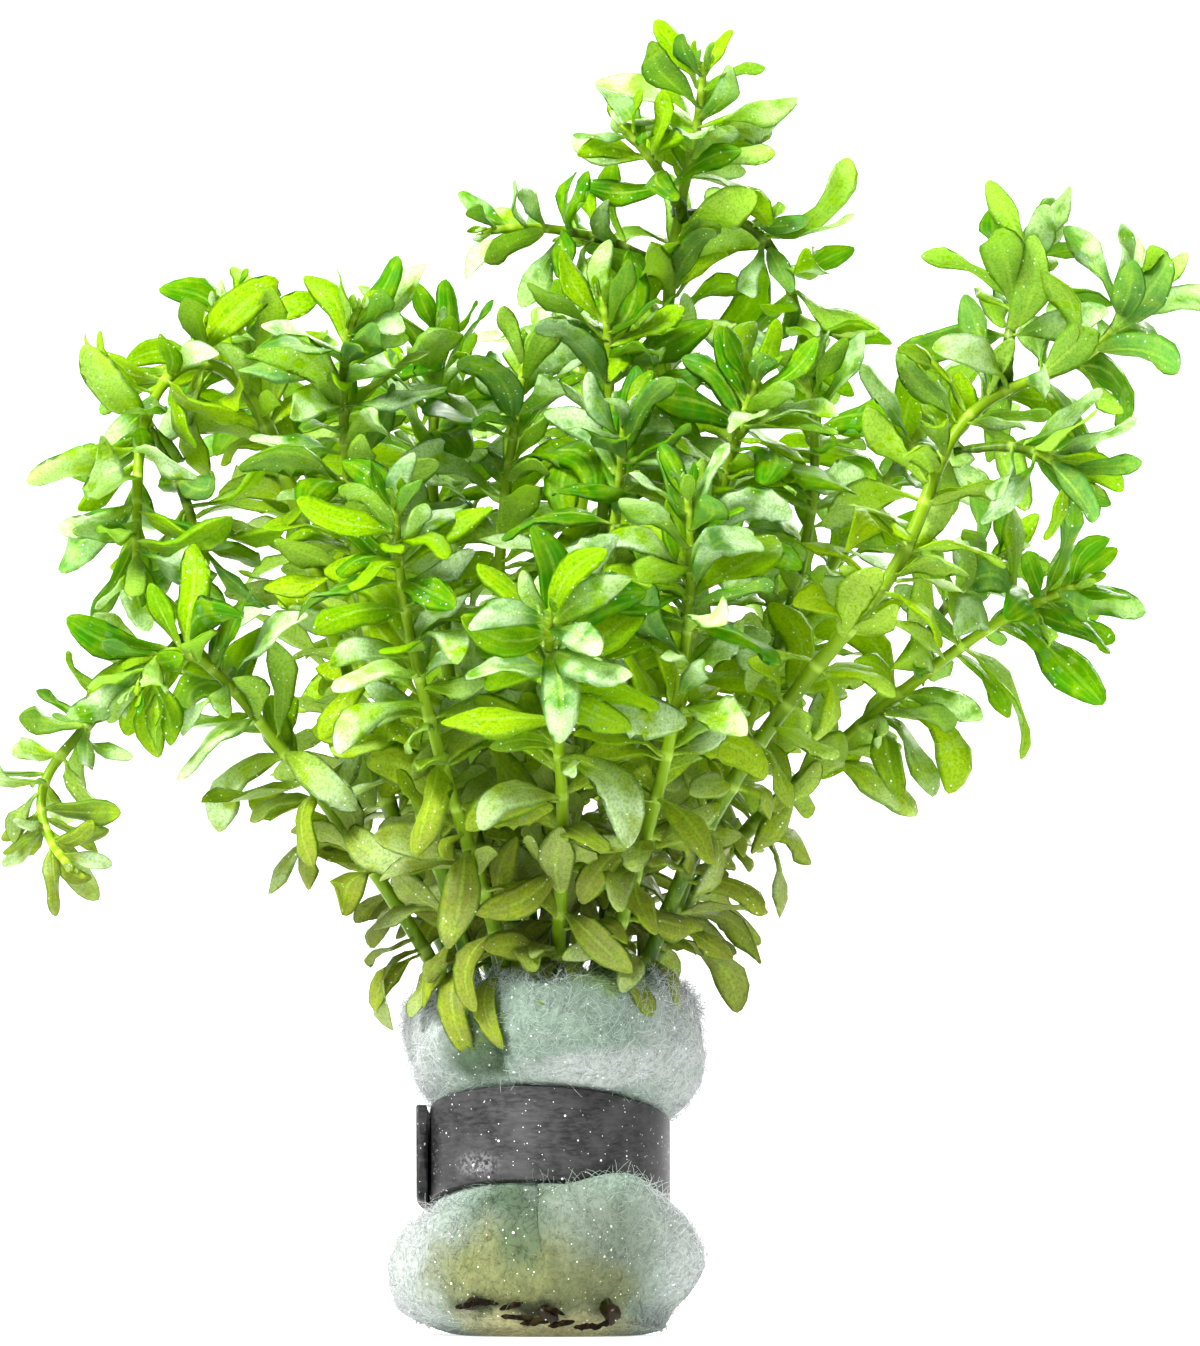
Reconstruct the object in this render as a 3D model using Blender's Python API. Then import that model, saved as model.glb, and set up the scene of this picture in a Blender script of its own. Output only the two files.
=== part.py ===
"""A bunch of water hedge: leafy stems rolled in filter wool, held by a bent lead strip.

Metres, +Z up. The origin is the centre of the bunch's flat foot, where the stems are cut
level with the wool. The front of the bunch faces -Y.
"""

import math

import bmesh
import bpy
import numpy as np
from mathutils import Vector

MM = 0.001
CLEAR = 0.35 * MM  # between neighbouring pieces

# Bundle: one stem in the middle, then two rings of seats round it
RING_RADIUS = (0.0, 3.1 * MM, 6.1 * MM)
STRAIGHT_TOP = 27 * MM  # the stems run straight up to here and fan out above
STEM_SIDES = 6
STEM_RADIUS = 1.2 * MM
TIP_RADIUS = 0.5 * MM
TAPER_LENGTH = 75 * MM  # from the growing tip down to the full radius

# Leaf pairs, counted from the growing tip of a stem downwards
TIP_GAP = 1.9 * MM
GAP_GROWTH = 1.18
LONGEST_GAP = 6.6 * MM
FIRST_NODE_Z = 47 * MM  # no leaves below this on a stem that rises from the wool
SHOOT_BARE = 3 * MM  # nor on the foot of a side shoot
NODE_HEIGHT = 1.8 * MM
STACKED_GAP = 4.4 * MM  # pairs closer than this stand on one another
FULL_PAIRS = 5  # all pairs down to this one are modelled, and lower down
LOWER_STEP = 4  # every fourth one
LEAF_LENGTH = 15.0 * MM
LEAF_WIDTH_RATIO = 0.33
LEAF_THICKNESS = 0.6 * MM
WIDEST_AT = 0.5  # share of the leaf's length
TIP_WIDTH = 0.5  # share of the leaf's width
LIGHT = np.array([0.0, -1.0, 0.0])  # the leaves twist to show their faces this way
LIGHT_TWIST = 0.6  # a leaf's twist at its tip, as a share of the turn that would face the light
LEAF_CLEAR = 1.3 * MM  # between the sample points of two leaves
STEM_CLEAR = 2.2 * MM  # from a leaf to the middle of another stem
OWN_STEM_CLEAR = 1.5 * MM
WOOL_CLEAR = 0.7 * MM
SEED = 11

# Filter wool: radius and height of its outer side, foot to rim, and of its channel
FOOT_RADIUS = 15.5 * MM
WOOL_SIDE = [(18.8, 1.2), (21.2, 5), (21.2, 10), (18.2, 14.2), (14.1, 15.9), (14.1, 30.1),
             (17.8, 31.9), (20.2, 36.5), (20.0, 41.5), (18.8, 44.5)]
WOOL_CHANNEL = [(17.0, 45.2), (13.8, 41.5), (11.0, 36.5), (8.7, 31), (8.1, 27), (8.1, 0)]
WOOL_WAIST = (15.9 * MM, 30.1 * MM)
WOOL_SEGMENTS = 22
LAYER_STEP = 1.6 * MM  # the outer turn of the roll ends on the inner one with this step
FOLD_ANGLE = math.radians(252)
RIM_RISE = 3.4 * MM  # the rim stands higher at the front, right of the fold

# Lead strip
STRIP_HEIGHT = 12.6 * MM
STRIP_THICKNESS = 1.5 * MM
STRIP_RADIUS = 15.3 * MM  # to the middle of its thickness
STRIP_START = math.radians(184)
STRIP_SWEEP = math.radians(369)
STRIP_LIFT = 2.1 * MM  # how far the outer end springs off the inner one
STRIP_SEGMENTS = 28
BAND_CENTRE_Z = 23.0 * MM
BAND_SLOPE_X = -0.05  # the strip sits askew, higher at the front and left
BAND_SLOPE_Y = -0.25

# Each stem: its seat as ring and degrees, and the points that it passes above the wool in
# millimetres, ending at its growing tip.
STEMS = {
    "stem_left_low": (2, 180, [(-13.5, -3.5, 46), (-20, -6, 57), (-29, -10, 70), (-38, -14, 81),
                               (-46, -18, 91), (-52, -21, 91), (-54.5, -25, 85)]),
    "stem_left_arch": (2, 150, [(-12, 5, 47), (-18, 9, 61), (-25, 12, 80), (-31, 13, 100),
                                (-36, 13, 119), (-43, 11, 131), (-51, 7, 130), (-55, 2, 121),
                                (-55, -3, 110), (-55, -7, 100)]),
    "stem_left_tall": (2, 210, [(-10, -9, 47), (-14, -13, 61), (-19, -17, 76), (-24, -19, 92),
                                (-26, -20, 108), (-27.5, -21, 122), (-27, -24, 132),
                                (-25, -28, 136)]),
    "stem_left_inner": (1, 150, [(-6, 3.5, 46), (-9, 5, 62), (-13, 5, 82), (-15, 3, 102),
                                 (-16, 0, 117), (-15, -3, 127), (-14, -5, 134)]),
    "stem_back_left": (2, 120, [(-7.5, 11, 47), (-12, 19, 64), (-19, 27, 82), (-26, 32, 100),
                                (-33, 34, 117), (-39, 32, 130), (-44, 28, 139)]),
    "stem_front_left": (2, 240, [(-5, -11, 47), (-9, -19, 60), (-14, -28, 75), (-18, -34, 90),
                                 (-20, -38, 103), (-20, -42, 110)]),
    "stem_middle_left": (1, 210, [(-4, -3, 46), (-6, -5, 63), (-7, -7, 83), (-7, -8, 103),
                                  (-5, -10, 119), (-3, -11, 131)]),
    "stem_inner_back": (1, 90, [(-1, 3.5, 46), (-4, 9, 64), (-9, 15, 84), (-13, 19, 102),
                                (-17, 20, 118), (-20, 18, 130)]),
    "stem_inner_front": (1, 270, [(0.5, -3.5, 46), (2, -9, 64), (5, -15, 84), (8, -20, 102),
                                  (9.5, -24, 114), (10, -27, 122)]),
    "stem_front": (2, 270, [(1, -11.5, 47), (1.5, -18, 58), (2, -28, 70), (1, -38, 82),
                            (0, -46, 90), (0, -53, 94), (0, -58, 95)]),
    "stem_middle": (0, 0, [(1, 0, 46), (3, -1, 66), (5, -3, 88), (7, -6, 108), (8, -9, 123),
                           (8, -11, 132), (7, -13, 138)]),
    "stem_back": (2, 90, [(0, 12.5, 47), (0, 21, 64), (1, 29, 82), (3, 34, 101), (5, 36, 118),
                          (5, 36, 130), (3, 34, 138)]),
    "stem_tall": (1, 30, [(6, 3.5, 46), (9, 5, 66), (12, 6, 90), (14.5, 6, 112), (15.5, 5, 130),
                          (16, 5, 143), (18, 4, 154), (20, 2, 162), (20.5, 1, 170)]),
    "stem_right_inner": (1, 330, [(6, -3.5, 46), (10, -6, 62), (15, -9, 79), (19, -12, 94),
                                  (22, -15, 108), (25, -19, 120), (28, -23, 128)]),
    "stem_right_middle": (2, 0, [(13, 1, 47), (18, 3, 60), (22, 5, 72), (28, 7, 85),
                                 (33, 7, 99), (35.5, 5, 112), (35.5, 2, 122), (34, -1, 129)]),
    "stem_back_right": (2, 60, [(7.5, 11, 47), (13, 18, 62), (22, 26, 78), (32, 32, 94),
                                (41, 35, 108), (48, 35, 119), (54, 32, 127)]),
    "stem_right_high": (2, 330, [(12, -6, 47), (17, -9, 60), (22, -12, 70), (29, -15, 81),
                                 (38, -18, 92), (46, -19, 101), (50, -18, 111), (53, -16, 120),
                                 (60, -15, 126), (69, -15, 128), (75, -15, 133),
                                 (78.5, -14, 141)]),
    "stem_right_low": (2, 30, [(12, 6, 47), (17, 9, 57), (25, 10, 66), (35, 8, 76),
                               (46, 4, 85), (56, 0, 93), (65, -4, 98), (71, -8, 100)]),
    "stem_front_right": (2, 300, [(7, -10, 47), (11, -18, 60), (15, -28, 74), (18, -35, 89),
                                  (19, -39, 104), (18, -42, 112)]),
}

# Each side shoot: the stem that it leaves, its leaves' size beside that stem's, and its
# points from just clear of that stem
SHOOTS = {
    "shoot_left_tip": ("stem_left_low", 0.68, [(-48, -16, 92.5), (-53, -14, 89), (-58, -14, 85),
                                               (-62, -14, 80), (-66, -14, 76), (-68, -15, 71),
                                               (-66, -18, 65), (-63, -23, 62)]),
    "shoot_tall_left": ("stem_tall", 0.75, [(14, 4.5, 143), (9, 3, 146), (2, 1, 147.5),
                                            (-4, 0, 148), (-9, -2, 147)]),
    "shoot_tall_right": ("stem_tall", 0.85, [(18.7, 4.5, 150), (24, 6, 150), (29, 6, 147),
                                             (32, 5, 141), (34, 4, 133), (35, 3, 128)]),
    "shoot_tall_front": ("stem_tall", 0.8, [(17.3, 1.5, 150.5), (15.5, -2, 154), (12.5, -5, 158),
                                            (9.5, -7, 161)]),
    "shoot_right_high": ("stem_right_high", 1.0, [(60.6, -14, 128), (61, -12, 134),
                                                  (63, -10, 141), (66, -9, 147)]),
    "shoot_right_front": ("stem_right_high", 0.9, [(56, -19, 117.6), (60.5, -20.5, 118),
                                                   (66, -21, 117), (71, -22, 112)]),
    "shoot_right_low": ("stem_right_low", 0.9, [(49.8, 3.8, 92), (52.5, 5, 97), (57, 5, 102),
                                                (62, 4, 105)]),
    "shoot_left_arch": ("stem_left_arch", 0.9, [(-52.2, 3, 119), (-49, 3, 113), (-47, 3, 106),
                                                (-46, 2, 99)]),
}

# The front stems come out through the foot of the wool: where each one is cut
FRONT_ENDS = {
    "stem_front_left": [(-3.4, -8.5, 14), (-7.5, -13.5, 6.5), (-10.5, -18.2, 4.2)],
    "stem_front": [(0.4, -8.5, 13), (0.4, -14, 5.5), (-0.2, -20.4, 2.8)],
    "stem_front_right": [(5.0, -7.4, 12), (6.8, -12.5, 5), (8.5, -18.6, 2.6)],
}

FRONT_STOPS = [6 * MM, 11 * MM, 16 * MM, 21 * MM, 26 * MM]  # rings of their bent feet
FAN_STEP = 8 * MM  # between a stem's rings where it fans out of the strip
CHORD_ERROR = 0.6 * MM  # how far a stem's straight stretch may stray from its curve

LEAF_GREEN = (0.16, 0.42, 0.05, 1)
LEAF_PALE = (0.30, 0.52, 0.20, 1)
WOOL_MINT = (0.50, 0.66, 0.56, 1)
LEAD_GREY = (0.075, 0.07, 0.078, 1)


def smooth_curve(points, step=0.5 * MM):
    """Points every step along the uniform cubic B-spline that the given points steer."""
    p = np.array([points[0]] * 2 + list(points) + [points[-1]] * 2, float)
    t = np.linspace(0, 1, 20, endpoint=False)[:, None]
    weights = ((1 - t) ** 3, 3 * t**3 - 6 * t**2 + 4, -3 * t**3 + 3 * t**2 + 3 * t + 1, t**3)
    spans = [sum(w * p[i + k] for k, w in enumerate(weights)) / 6 for i in range(len(p) - 3)]
    curve = np.vstack(spans + [p[-1:]])
    along = np.append(0, np.cumsum(np.linalg.norm(np.diff(curve, axis=0), axis=1)))
    at = np.linspace(0, along[-1], max(2, round(along[-1] / step)))
    return np.column_stack([np.interp(at, along, curve[:, axis]) for axis in range(3)])


def carried_frames(curve, turn):
    """Unit tangent and side at each point of a curve, the side carried along untwisted."""
    tangent = np.gradient(curve, axis=0)
    tangent /= np.linalg.norm(tangent, axis=1)[:, None]
    side = np.empty_like(tangent)
    guide = np.array([math.cos(turn), math.sin(turn), 0.15])
    for i, direction in enumerate(tangent):
        guide = guide - direction * (guide @ direction)
        guide /= np.linalg.norm(guide)
        side[i] = guide
    return tangent, side


class Stem:
    """A stem's middle line with its frames, and where its leaf pairs stand."""

    def __init__(self, points, turn, leaf_size=1.0, bare=0.0):
        self.leaf_size = leaf_size
        self.curve = smooth_curve(points)
        self.tangent, self.side = carried_frames(self.curve, turn)
        steps = np.linalg.norm(np.diff(self.curve, axis=0), axis=1)
        self.along = np.append(0, np.cumsum(steps))
        self.length = self.along[-1]
        lowest = bare or self.along[np.argmax(self.curve[:, 2] > FIRST_NODE_Z)]
        gap, at = TIP_GAP, self.length - TIP_GAP
        self.nodes = []
        while at > lowest:
            self.nodes.append(at)
            at -= gap
            gap = min(gap * GAP_GROWTH, LONGEST_GAP)
        self.leaves = []

    def at(self, distance):
        """Point, tangent and side at a distance from the cut end."""
        def read(values):
            return np.array([np.interp(distance, self.along, values[:, k]) for k in range(3)])
        return read(self.curve), unit(read(self.tangent)), unit(read(self.side))

    def radius(self, distance):
        """Full low down, thinning to the growing tip."""
        left = min(1, (self.length - distance) / TAPER_LENGTH)
        return TIP_RADIUS + (STEM_RADIUS - TIP_RADIUS) * left**0.6


class Leaf:
    """One leaf: a blade that leaves its stem at a pitch and bends back and twists on its way."""

    def __init__(self, stem, order, azimuth, pitch, bend, twist, length):
        centre, tangent, side = stem.at(stem.nodes[order])
        across = np.cross(tangent, side)
        self.axis = tangent
        self.out = math.cos(azimuth) * side + math.sin(azimuth) * across
        self.side = np.cross(tangent, self.out)
        self.root = centre + self.out * stem.radius(stem.nodes[order])
        self.order, self.pitch, self.bend, self.length = order, pitch, bend, length
        self.width = length * LEAF_WIDTH_RATIO
        self.twist = twist + LIGHT_TWIST * self.turn_to_light()

    def turn_to_light(self):
        """The least turn about the midrib that shows one of the leaf's faces to the light."""
        pitch = self.pitch + self.bend / 2
        flat = math.sin(pitch) * self.axis - math.cos(pitch) * self.out
        turn = math.atan2(-self.side @ LIGHT, flat @ LIGHT)
        return (turn + math.pi / 2) % math.pi - math.pi / 2

    def spine(self, shares):
        """Points of the midrib: the integral of a direction whose pitch grows evenly."""
        shares = np.atleast_1d(shares)[:, None]
        bend = self.bend if abs(self.bend) > 1e-3 else 1e-3
        end = self.pitch + bend * shares
        forward = (np.sin(end) - math.sin(self.pitch)) / bend
        outward = (math.cos(self.pitch) - np.cos(end)) / bend
        return self.root + self.length * (forward * self.axis + outward * self.out)

    def cross(self, shares):
        """Directions across the blade and out of its upper side at shares of the length."""
        shares = np.atleast_1d(shares)[:, None]
        pitch, twist = self.pitch + self.bend * shares, self.twist * shares
        flat = np.sin(pitch) * self.axis - np.cos(pitch) * self.out
        across = np.cos(twist) * self.side + np.sin(twist) * flat
        return across, np.cos(twist) * flat - np.sin(twist) * self.side

    def samples(self):
        """Points spread over the blade, five across at seven stations."""
        stations = np.linspace(0.3, 1, 7)
        half = 0.5 * self.width * np.array([0.7, 0.9, 1, 1, 0.95, 0.8, 0.5])
        offsets = (half[:, None] * np.linspace(-0.9, 0.9, 5))[..., None]
        across = self.cross(stations)[0][:, None]
        return (self.spine(stations)[:, None] + offsets * across).reshape(-1, 3)


def unit(vector):
    return vector / np.linalg.norm(vector)


def seat(ring, degrees, z):
    """A point of the bundle's seat at height z."""
    angle = math.radians(degrees)
    return (RING_RADIUS[ring] * math.cos(angle), RING_RADIUS[ring] * math.sin(angle), z)


def to_metres(points):
    return [tuple(MM * value for value in point) for point in points]


def stem_points(name):
    """Steering points of a stem from its cut end to its tip."""
    ring, degrees, above = STEMS[name]
    if name in FRONT_ENDS:
        foot = to_metres(reversed(FRONT_ENDS[name])) + [seat(ring, degrees, 21 * MM)]
    else:
        foot = [seat(ring, degrees, z) for z in (0, STRAIGHT_TOP / 2)]
    return foot + [seat(ring, degrees, STRAIGHT_TOP), seat(ring, degrees, 33 * MM)] + to_metres(above)


def wool_gap(points):
    """How far points stand off the wool, taken as a solid of revolution."""
    radius = np.hypot(points[:, 0], points[:, 1])
    heights = [z * MM for _, z in WOOL_SIDE]
    wall = np.interp(points[:, 2], heights, [r * MM for r, _ in WOOL_SIDE]) + LAYER_STEP
    above = points[:, 2] - heights[-1] - RIM_RISE
    return np.maximum(radius - wall, above)


def nearest(points, others):
    """The least distance between two sets of points."""
    if not len(others):
        return np.inf
    return np.sqrt(((points[:, None] - others[None]) ** 2).sum(2).min())


class Bunch:
    """All stems, and their leaves placed one by one where there is room."""

    def __init__(self):
        self.random = np.random.default_rng(SEED)
        self.stems = {name: Stem(stem_points(name), self.random.uniform(0, math.tau))
                      for name in STEMS}
        for name, (_, size, points) in SHOOTS.items():
            turn = self.random.uniform(0, math.tau)
            self.stems[name] = Stem(to_metres(points), turn, size, SHOOT_BARE)
        self.centres, self.clouds = [], []
        pairs = max(len(stem.nodes) for stem in self.stems.values())
        for order in range(pairs):
            for name, stem in self.stems.items():
                if order < len(stem.nodes):
                    self.add_pair(name, stem, order)

    def add_pair(self, name, stem, order):
        """Two opposite leaves, each pair turned a quarter from the one above it."""
        turns = (len(stem.nodes) - 1 - order) * math.pi / 2
        grown = max(0.5, 1 - 0.62 * math.exp(-order / 1.6) - 0.035 * max(0, order - 6))
        for opposite in (0, math.pi):
            luck = self.random.uniform(-1, 1, 5)
            droop = 45 * max(0, luck[1]) * min(1, order / 12)
            pitch = math.radians(22 + 36 * (1 - math.exp(-order / 3)) + 20 * luck[0] + droop)
            bend = math.radians(12 + 7 * min(order, 8) + 26 * luck[1])
            twist = math.radians(55 * luck[4])
            length = LEAF_LENGTH * stem.leaf_size * grown * (1 + 0.15 * luck[2])
            azimuth = turns + opposite + math.radians(24 * luck[3])
            leaf = self.best_fit(name, stem, order, azimuth, pitch, bend, twist, length)
            if leaf:
                stem.leaves.append((opposite, leaf))
                self.clouds.append(leaf.samples())
                self.centres.append(self.clouds[-1].mean(axis=0))

    def best_fit(self, name, stem, order, azimuth, pitch, bend, twist, length):
        """The first of a few swings and lengths that stands clear of everything, or nothing."""
        for size in (1, 0.88, 0.76):
            for swing, lift in ((0, 0), (14, 0), (-14, 0), (0, -14), (0, 14), (22, -10), (-22, 10)):
                leaf = Leaf(stem, order, azimuth + math.radians(swing),
                            pitch + math.radians(lift), bend, twist, length * size)
                if self.is_clear(name, leaf):
                    return leaf
        return None

    def is_clear(self, name, leaf):
        points = leaf.samples()
        if wool_gap(points).min() < WOOL_CLEAR:
            return False
        centre = points.mean(axis=0)
        if self.centres:
            near = np.linalg.norm(np.array(self.centres) - centre, axis=1) < 1.4 * LEAF_LENGTH
            for index in np.flatnonzero(near):
                if nearest(points, self.clouds[index]) < LEAF_CLEAR:
                    return False
        if nearest(points, self.stems[name].curve) < OWN_STEM_CLEAR:
            return False
        others = np.vstack([stem.curve[::2] for other, stem in self.stems.items() if other != name])
        foot = leaf.spine(np.linspace(0.08, 0.3, 4))
        return min(nearest(points, others), nearest(foot, others)) > STEM_CLEAR


def new_object(name, mesh_data, colour, roughness, metallic=0.0):
    """An object from a bmesh, with a material of its own."""
    bmesh.ops.recalc_face_normals(mesh_data, faces=mesh_data.faces)
    mesh = bpy.data.meshes.new(name)
    mesh_data.to_mesh(mesh)
    mesh_data.free()
    piece = bpy.data.objects.new(name, mesh)
    bpy.context.collection.objects.link(piece)
    material = bpy.data.materials.new(name)
    material.use_nodes = True
    shader = material.node_tree.nodes["Principled BSDF"]
    shader.inputs["Base Color"].default_value = colour
    shader.inputs["Roughness"].default_value = roughness
    shader.inputs["Metallic"].default_value = metallic
    mesh.materials.append(material)
    return piece


def stem_ring(bm, stem, distance, turn, extra=0.0):
    """A ring of the stem's corners, turned by a number of half sides about its middle line."""
    centre, tangent, side = stem.at(distance)
    across = np.cross(tangent, side)
    radius = stem.radius(distance) + extra
    angles = (turn / 2 + np.arange(STEM_SIDES)) * math.tau / STEM_SIDES
    return [bm.verts.new(centre + radius * (math.cos(a) * side + math.sin(a) * across))
            for a in angles]


def straight_band(bm, lower, upper):
    for i in range(STEM_SIDES):
        j = (i + 1) % STEM_SIDES
        bm.faces.new((lower[i], lower[j], upper[j], upper[i]))


def turned_band(bm, lower, upper, leaves):
    """Triangles between two rings half a side apart. A leaf grows from one that points down."""
    for i in range(STEM_SIDES):
        left, right = upper[i], upper[i - 1]
        bm.faces.new((lower[i], lower[(i + 1) % STEM_SIDES], left))
        if i in leaves:
            leaf_blade(bm, leaves[i], (left, right, lower[i]))
        else:
            bm.faces.new((left, right, lower[i]))


def leaf_blade(bm, leaf, base):
    """A flat-topped blade with a keel, grown from a triangle of the stem."""
    left, right, keel = base
    middle, end = leaf.spine([WIDEST_AT, 1])
    across, upward = leaf.cross([WIDEST_AT, 1])
    half = 0.5 * leaf.width * across * [[1], [TIP_WIDTH]]
    wide_left, wide_right = bm.verts.new(middle + half[0]), bm.verts.new(middle - half[0])
    deep = bm.verts.new(middle - upward[0] * LEAF_THICKNESS)
    tip_left, tip_right = bm.verts.new(end + half[1]), bm.verts.new(end - half[1])
    core = sum((v.co for v in (left, right, keel, wide_left, wide_right, deep)), Vector()) / 6
    bulging_quad(bm, (left, right, wide_right, wide_left), core)
    bulging_quad(bm, (left, wide_left, deep, keel), core)
    bulging_quad(bm, (right, keel, deep, wide_right), core)
    bulging_quad(bm, (wide_left, wide_right, tip_right, tip_left), deep.co)
    for corners in ((wide_left, tip_left, deep), (wide_right, deep, tip_right),
                    (deep, tip_left, tip_right)):
        bm.faces.new(corners)


def bulging_quad(bm, corners, core):
    """Two triangles split on the diagonal that lies further out from the core."""
    a, b, c, d = corners
    if ((a.co + c.co) / 2 - core).length > ((b.co + d.co) / 2 - core).length:
        pairs = ((a, b, c), (a, c, d))
    else:
        pairs = ((b, c, d), (b, d, a))
    for triangle in pairs:
        bm.faces.new(triangle)


def build_stem(name, stem):
    """A stem as one closed tube with its leaves grown out of it."""
    bm = bmesh.new()
    rings = [stem_ring(bm, stem, 0, 0)]
    bm.faces.new(rings[0])
    here, turn = 0.0, 0
    for stop in bare_stops(stem):
        rings.append(stem_ring(bm, stem, stop, 0))
        straight_band(bm, *rings[-2:])
        here = stop
    for order in reversed(range(len(stem.nodes))):
        if order > FULL_PAIRS and (order - FULL_PAIRS) % LOWER_STEP:
            continue
        pair = len(stem.nodes) - 1 - order
        middle = stem.nodes[order]
        gap = stem.nodes[order - 1] - middle if order else TIP_GAP
        for stop in stops_between(stem, here, middle - NODE_HEIGHT / 2):
            rings.append(stem_ring(bm, stem, stop, turn))
            straight_band(bm, *rings[-2:])
            here = stop
        if middle - NODE_HEIGHT / 2 - here > STACKED_GAP - NODE_HEIGHT:
            odd = (3 * pair - turn) % 2
            rings.append(stem_ring(bm, stem, middle - NODE_HEIGHT / 2, turn + odd))
            if odd:
                turned_band(bm, *rings[-2:], {})
            else:
                straight_band(bm, *rings[-2:])
            turn += odd
        here = middle + (NODE_HEIGHT / 2 if gap > STACKED_GAP else gap / 2)
        first = (3 * pair - turn) // 2
        leaves = {(first + (3 if opposite else 0)) % STEM_SIDES: leaf
                  for opposite, leaf in stem.leaves if leaf.order == order}
        turn += 1
        rings.append(stem_ring(bm, stem, min(here, stem.length - 0.5 * MM), turn))
        turned_band(bm, *rings[-2:], leaves)
    tip = bm.verts.new(stem.curve[-1])
    for i in range(STEM_SIDES):
        bm.faces.new((rings[-1][i], rings[-1][(i + 1) % STEM_SIDES], tip))
    return new_object(name, bm, LEAF_GREEN, 0.4)


def bare_stops(stem):
    """Distances of the rings on a stem's leafless lower end, none where it is straight."""
    first = stem.nodes[-1] - NODE_HEIGHT
    if first < STRAIGHT_TOP:
        return []
    bent_foot = FRONT_STOPS if stem.curve[0, 2] > MM else []
    fan = np.arange(STRAIGHT_TOP + 3 * MM, first - 4 * MM, FAN_STEP)
    return bent_foot + list(fan)


def stops_between(stem, low, high):
    """Distances at which to halve a stretch of stem until each part keeps to the curve."""
    middle = (low + high) / 2
    chord_middle = (stem.at(low)[0] + stem.at(high)[0]) / 2
    if np.linalg.norm(stem.at(middle)[0] - chord_middle) < CHORD_ERROR:
        return []
    return stops_between(stem, low, middle) + [middle] + stops_between(stem, middle, high)


def lumps(angle, z):
    """Soft swellings of the wool, none at its foot or under the strip."""
    wave = 0.5 * math.sin(3 * angle + 0.4) + 0.4 * math.sin(5 * angle + 400 * z)
    return wave * MM * min(1, z / (6 * MM))


def band_z(x, y):
    """Height of the strip's middle, which sits askew."""
    return BAND_CENTRE_Z + BAND_SLOPE_X * x + BAND_SLOPE_Y * y


def wool_ring(bm, radius, z, outside):
    """One ring of the wool roll, shifted with the strip and stepped at the fold."""
    verts = []
    low, high = WOOL_WAIST
    top = WOOL_SIDE[-1][1] * MM
    askew = min(1, z / low, (top - z) / (top - high)) if outside else 0
    loose = 0 if radius < 15 * MM else 1
    for i in range(WOOL_SEGMENTS):
        share = i / (WOOL_SEGMENTS - 1)
        angle = FOLD_ANGLE + math.radians(4) + share * (math.tau - math.radians(8))
        r = radius
        if outside and loose:
            r += LAYER_STEP * (1 - share) * min(1, z / (4 * MM)) + lumps(angle, z)
        x, y = r * math.cos(angle), r * math.sin(angle)
        lift = askew * (BAND_SLOPE_X * x + BAND_SLOPE_Y * y)
        facing = max(0, math.cos(angle - math.radians(290)))
        rise = RIM_RISE * facing if z > 42 * MM else 0
        verts.append(bm.verts.new((x, y, z + lift + rise)))
    return verts


def build_wool(cutters):
    """The rolled wool: a waisted tube round the bundle, pierced by the front stems' ends."""
    bm = bmesh.new()
    outside = [(FOOT_RADIUS, 0.0)] + to_metres(WOOL_SIDE)
    rings = [wool_ring(bm, r, z, True) for r, z in outside]
    rings += [wool_ring(bm, r, z, False) for r, z in to_metres(WOOL_CHANNEL)]
    for lower, upper in zip(rings, rings[1:] + rings[:1]):
        for i in range(WOOL_SEGMENTS):
            j = (i + 1) % WOOL_SEGMENTS
            bm.faces.new((lower[i], lower[j], upper[j], upper[i]))
    wool = new_object("wool_wrap", bm, WOOL_MINT, 0.95)
    for cutter in cutters:
        cut = wool.modifiers.new(cutter.name, "BOOLEAN")
        cut.object = cutter
        cut.solver = "EXACT"
    return wool


def end_cutter(name, stem):
    """A tube just wider than a stem, from inside the channel out past its cut end."""
    bm = bmesh.new()
    _, tangent, _ = stem.at(0)
    rings = [stem_ring(bm, stem, stop, 0, 1.3 * CLEAR) for stop in [0] + FRONT_STOPS]
    past = [bm.verts.new(np.array(v.co) - tangent * 8 * MM) for v in rings[0]]
    rings.insert(0, past)
    bm.faces.new(past)
    bm.faces.new(rings[-1])
    for lower, upper in zip(rings, rings[1:]):
        straight_band(bm, lower, upper)
    cutter = new_object(name + "_cutter", bm, LEAF_PALE, 0.5)
    cutter.hide_render = True
    cutter.display_type = "WIRE"
    return cutter


def strip_radius(share):
    """The strip's turn: round, then springing outwards over its last fifth."""
    rise = max(0, (share - 0.8) / 0.2)
    return STRIP_RADIUS + STRIP_LIFT * rise**1.3


def build_strip():
    """A flat bar bent once round the wool, its outer end standing off its inner one."""
    bm = bmesh.new()
    rings = []
    for i in range(STRIP_SEGMENTS + 1):
        share = i / STRIP_SEGMENTS
        angle = STRIP_START + share * STRIP_SWEEP
        ring = []
        for r_side, z_side in ((-1, -1), (1, -1), (1, 1), (-1, 1)):
            r = strip_radius(share) + r_side * STRIP_THICKNESS / 2
            x, y = r * math.cos(angle), r * math.sin(angle)
            ring.append(bm.verts.new((x, y, band_z(x, y) + z_side * STRIP_HEIGHT / 2)))
        rings.append(ring)
    bm.faces.new(rings[0])
    bm.faces.new(rings[-1])
    for near, far in zip(rings, rings[1:]):
        for i in range(4):
            j = (i + 1) % 4
            bm.faces.new((near[i], near[j], far[j], far[i]))
    return new_object("lead_strip", bm, LEAD_GREY, 0.6, metallic=0.6)


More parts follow.
